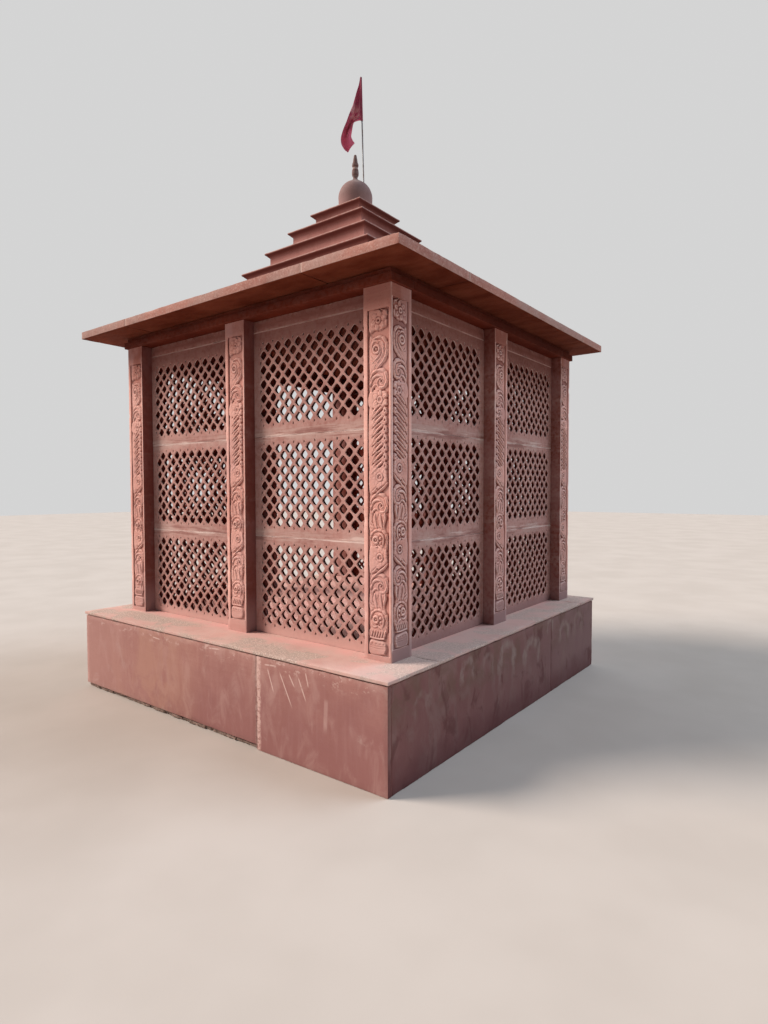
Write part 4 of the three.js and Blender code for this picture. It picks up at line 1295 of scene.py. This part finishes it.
# A turned piece about the middle of the roof from its outline of radius and height
def turned(name, outline, segments, material, uneven=0.5):
    outline = np.array(outline, float)
    a = np.linspace(0, 2 * np.pi, segments, endpoint=False)
    spoke = np.stack([np.cos(a), np.sin(a), 0 * a], -1)
    points = np.array([ROOF_X, ROOF_Y, 0]) + outline[:, :1, None] * spoke + outline[:, 1:, None] * UP
    inward = uneven * (1 + noise_at(points, 40, 90)) * np.minimum(outline[:, :1], 1)
    points = points - spoke * inward[..., None]
    shape = Shape().add(points, [grid_quads(len(outline), segments, closed=True)])
    shape.piece(f"{name}_stone", material, [name], "roof_stone", crease=45)


def build_dome(material):
    end = math.asin((DOME_SEAT - DOME_CENTRE) / DOME_RADIUS)
    outline = [(1, ROOF_TOP), (DOME_FOOT_RADIUS - 2, ROOF_TOP), (DOME_FOOT_RADIUS, ROOF_TOP + 3)]
    outline += [(DOME_FOOT_RADIUS + 5 * t, ROOF_TOP + (DOME_CENTRE - ROOF_TOP) * t) for t in (0.3, 0.6, 0.85)]
    for a in np.linspace(0, end, 15):
        outline.append((DOME_RADIUS * math.cos(a), DOME_CENTRE + DOME_RADIUS * math.sin(a)))
    turned("dome", [*outline, (1, DOME_SEAT)], DOME_SEGMENTS, material)


def build_finial(material):
    outline = curve_through([
        (1, 0), (40, 0), (42, 4), (40, 9), (27, 17), (19, 30), (20, 42), (27, 55), (29.5, 74), (28, 94),
        (24, 114), (22, 122), (24, 127), (27.5, 136), (28, 146), (25, 156), (21, 165), (20, 172), (17.5, 190),
        (14, 207), (12.5, 219), (8, 228), (1, 231.5)], steps=3)
    outline = np.clip(outline, [0.5, 0], [FINIAL_RADIUS, FINIAL_HEIGHT]) + [0, DOME_SEAT]
    turned("pot_finial", outline, FINIAL_SEGMENTS, material, uneven=0.2)


# Frame of the pole: its foot, the way the pennant hangs from it, across that and up
def pole_axes():
    foot = np.array([POLE_X, POLE_Y, ROOF_TOP - POLE_SOCKET], float)
    heading = np.array([math.cos(POLE_HEADING), math.sin(POLE_HEADING), 0.0])
    up = heading * math.sin(POLE_LEAN) + UP * math.cos(POLE_LEAN)
    away = heading * math.cos(POLE_LEAN) - UP * math.sin(POLE_LEAN)
    return foot, away, np.cross(up, away), up


# Rings of points round the pole, at heights over its foot
def pole_rings(heights, radii, turns):
    foot, away, beside, up = pole_axes()
    spokes = np.cos(turns)[:, None] * away + np.sin(turns)[:, None] * beside
    return foot + up * heights[:, None, None] + radii * spokes


def build_pole(material):
    heights = np.array([0.3, *np.linspace(1, POLE_LENGTH - 3, 40), POLE_LENGTH])
    radii = np.full((len(heights), 1, 1), float(POLE_RADIUS))
    radii[[0, -1]] -= 1.5
    rings = pole_rings(heights, radii, np.linspace(0, 2 * np.pi, POLE_SEGMENTS, endpoint=False))
    ends = np.arange(len(rings) * POLE_SEGMENTS).reshape(-1, POLE_SEGMENTS)
    walls = grid_quads(len(rings), POLE_SEGMENTS, closed=True)
    shape = Shape().add(rings, [walls, ends[:1, ::-1], ends[-1:]])
    shape.piece("flagpole_steel", material, ["flagpole"], "pole_steel")


# Edges of the pennant as it hangs: away from the pole and down from its top
LEFT_EDGE = [
    (8, 5), (19, 60), (38, 119), (55, 174), (74, 233), (93, 284), (115, 339), (137, 394), (162, 444),
    (180, 491), (189, 534), (186, 580), (169, 620), (150, 645)]
RIGHT_EDGE = [
    (7, 374), (24, 372), (46, 378), (68, 390), (78, 410), (85, 438), (93, 472), (98, 500), (94, 520),
    (84, 541), (69, 562)]
PENNANT_HOIST, PENNANT_FLY = 372, 690
PENNANT_GRID, SLEEVE_GRID, SLEEVE_GAP = (72, 40), (30, 17), 2.2


# Points along a line at shares of its length
def along_share(line, share):
    run = np.concatenate([[0], np.cumsum(np.linalg.norm(np.diff(line, axis=0), axis=1))])
    return np.stack([np.interp(share * run[-1], run, line[:, i]) for i in (0, 1)], -1)


# The flying part of the pennant: from its outer edge to the pole, in rows from the top down
def pennant_field(rows, columns):
    left, right = curve_through(LEFT_EDGE), curve_through(RIGHT_EDGE)
    t = np.linspace(0, 1, rows)[:, None]
    a = np.linspace(0, 1, columns)[None, :]

    # The hoist comes first: its rows run down the pole, and the lower edge follows from there
    hoist = 0.42
    down = np.minimum(t / hoist, 1) * PENNANT_HOIST
    inner = np.where((t < hoist)[..., None], np.stack([np.full(t.shape, 7.0), 5 + down], -1),
                     along_share(right, np.clip((t[:, 0] - hoist) / (1 - hoist), 0, 1))[:, None])
    flat = along_share(left, t[:, 0])[:, None] * (1 - a[..., None]) + inner * a[..., None]
    flat[..., 1] += 5 * smooth_step(t, 0.88, 1.0) * np.sin(np.pi * a)
    depth = 24 * smooth_step(t, 0.03, 0.45)
    waves = ((1.25, 0.30, 0.5, 1.0), (2.6, -1.1, 1.9, 0.30), (0.7, 2.1, 0.7, 0.30))
    fold = sum(
        np.sin(2 * np.pi * (across * a + up * t) + turn) * depth * share for across, up, turn, share in waves)
    bulge = 22 * np.sin(np.pi * t) * np.sin(np.pi * a)
    held = smooth_step(1 - a, 0.0, 0.30) + smooth_step(t, hoist, hoist + 0.2)
    calm = 1 - 0.9 * smooth_step(t, 0.70, 0.92) * smooth_step(a, 0.35, 0.8)
    out = (fold - bulge) * np.minimum(1, held) * np.minimum(1, 5 * t) * calm
    return flat[..., 0], flat[..., 1], out


def build_pennant(material):
    foot, away, beside, up = pole_axes()
    top = foot + up * POLE_LENGTH
    across, down, out = pennant_field(*PENNANT_GRID)
    points = top + away * across[..., None] - up * down[..., None] + beside * out[..., None]
    ripple = noise_at(points, 60, 5) * 2 * np.minimum(1, out**2 / 40)
    points = points + beside * ripple[..., None]
    # Painted shade where the cloth stands out most to one side
    shape = Shape().add(points, [grid_quads(*across.shape)], hollow=smooth_step(out, -2, 18) * 0.5)

    # The sleeve round the pole, darkened with painted shade
    heights = POLE_LENGTH - 5 - np.linspace(0, PENNANT_HOIST, SLEEVE_GRID[0])
    rings = pole_rings(heights, POLE_RADIUS + SLEEVE_GAP, np.linspace(0, 2 * np.pi, SLEEVE_GRID[1]))
    shape.add(rings, [grid_quads(*SLEEVE_GRID)], hollow=0.8)
    cloth = shape.piece("pennant_cloth", material, ["pennant"], "pennant_cloth", crease=180)


FLOOR_REACH, FLOOR_DROP = 40, 0.001


def build_stage(material):
    mesh = bpy.data.meshes.new("studio_floor")
    corners = [(-1, -1), (1, -1), (1, 1), (-1, 1)]
    mesh.from_pydata([(x * FLOOR_REACH, y * FLOOR_REACH, 0) for x, y in corners], [], [(0, 1, 2, 3)])
    mesh.materials.append(material)
    floor = linked("studio_floor", mesh)
    floor.location.z = -FLOOR_DROP


# A soft light that comes from a direction
def sunlight(name, toward, angle, strength, color):
    data = bpy.data.lights.new(name, "SUN")
    data.angle, data.energy, data.color = math.radians(angle), strength, color
    linked(name, data).rotation_euler = Vector(toward).to_track_quat("Z", "Y").to_euler()


GLOW_SIZE, GLOW_SPREAD, GLOW_POWER = (1.3, 1.4), math.radians(30), 4.4
GLOW_COLOR, GLOW_PLACE = (1.0, 0.87, 0.80), (-0.12, -0.42, 1.95)


# The daylight that falls through the doorway, as a pool on the floor beside it
def floor_glow():
    data = bpy.data.lights.new("floor_glow", "AREA")
    data.shape, (data.size, data.size_y) = "RECTANGLE", GLOW_SIZE
    data.spread, data.energy, data.color = GLOW_SPREAD, GLOW_POWER, GLOW_COLOR
    lamp = linked("floor_glow", data)
    lamp.location = GLOW_PLACE
    lamp.visible_camera = False


# The side from which the world glows, as the sky does in the photograph
WORLD_GLOW = (-0.62, 0.70, 0.35)
WORLD_TONES = ((0.1, (0.12, 0.125, 0.14, 1)), (0.75, (0.66, 0.66, 0.66, 1)))

# Each sun: the direction it comes from, its angle, strength and colour
SUNS = {
    "key": ((-0.68, -0.46, 0.57), 26, 4.4, (1.0, 0.86, 0.76)),
    "fill": ((0.48, 0.50, 0.72), 40, 1.75, (0.76, 0.84, 0.95)),
}


def build_lights():
    world = bpy.data.worlds.new("studio")
    bpy.context.scene.world = world
    world.use_nodes = True
    tree = world.node_tree
    toward = tree.nodes.new("ShaderNodeVectorMath")
    toward.operation = "DOT_PRODUCT"
    toward.inputs[1].default_value = WORLD_GLOW
    tone = tree.nodes.new("ShaderNodeValToRGB")
    for element, (position, color) in zip(tone.color_ramp.elements, WORLD_TONES):
        element.position, element.color = position, color
    tree.links.new(tree.nodes.new("ShaderNodeTexCoord").outputs["Generated"], toward.inputs[0])
    tree.links.new(toward.outputs["Value"], tone.inputs[0])
    tree.links.new(tone.outputs[0], tree.nodes["Background"].inputs["Color"])
    for name, sun in SUNS.items():
        sunlight(name, *sun)
    floor_glow()


# The photograph's camera, from the fit of the building to it
CAMERA_PLACE = (3.4443, -4.0488, 1.590)
CAMERA_YAW, CAMERA_PITCH, CAMERA_ROLL = -0.6537, -0.0354, -0.0021
CAMERA_LENS, CAMERA_SENSOR, CAMERA_REACH = 21.616, 36, 200


def build_camera():
    data = bpy.data.cameras.new("camera")
    data.lens, data.sensor_width, data.clip_end = CAMERA_LENS, CAMERA_SENSOR, CAMERA_REACH
    camera = linked("camera", data)
    aimed = Euler((math.pi / 2 + CAMERA_PITCH, 0, -CAMERA_YAW)).to_matrix().to_4x4()
    rolled = Matrix.Rotation(CAMERA_ROLL, 4, "Z")
    camera.matrix_world = Matrix.Translation(CAMERA_PLACE) @ aimed @ rolled
    bpy.context.scene.camera = camera


build_camera()
build_lights()
build_stage(floor_paint())
roof = roof_stone()
build_plinth(plinth_stone(), coping_stone(), footing_masonry())
build_pillars(pillar_stone())
build_screens(screen_stone())
build_beams(beam_stone_in_painted_shade())
build_eave(eave_stone())
build_tiers(roof)
build_dome(dome_stone())
build_finial(finial_stone())
build_pole(pole_steel())
build_pennant(pennant_cloth())
bpy.context.scene.view_settings.view_transform = "Standard"
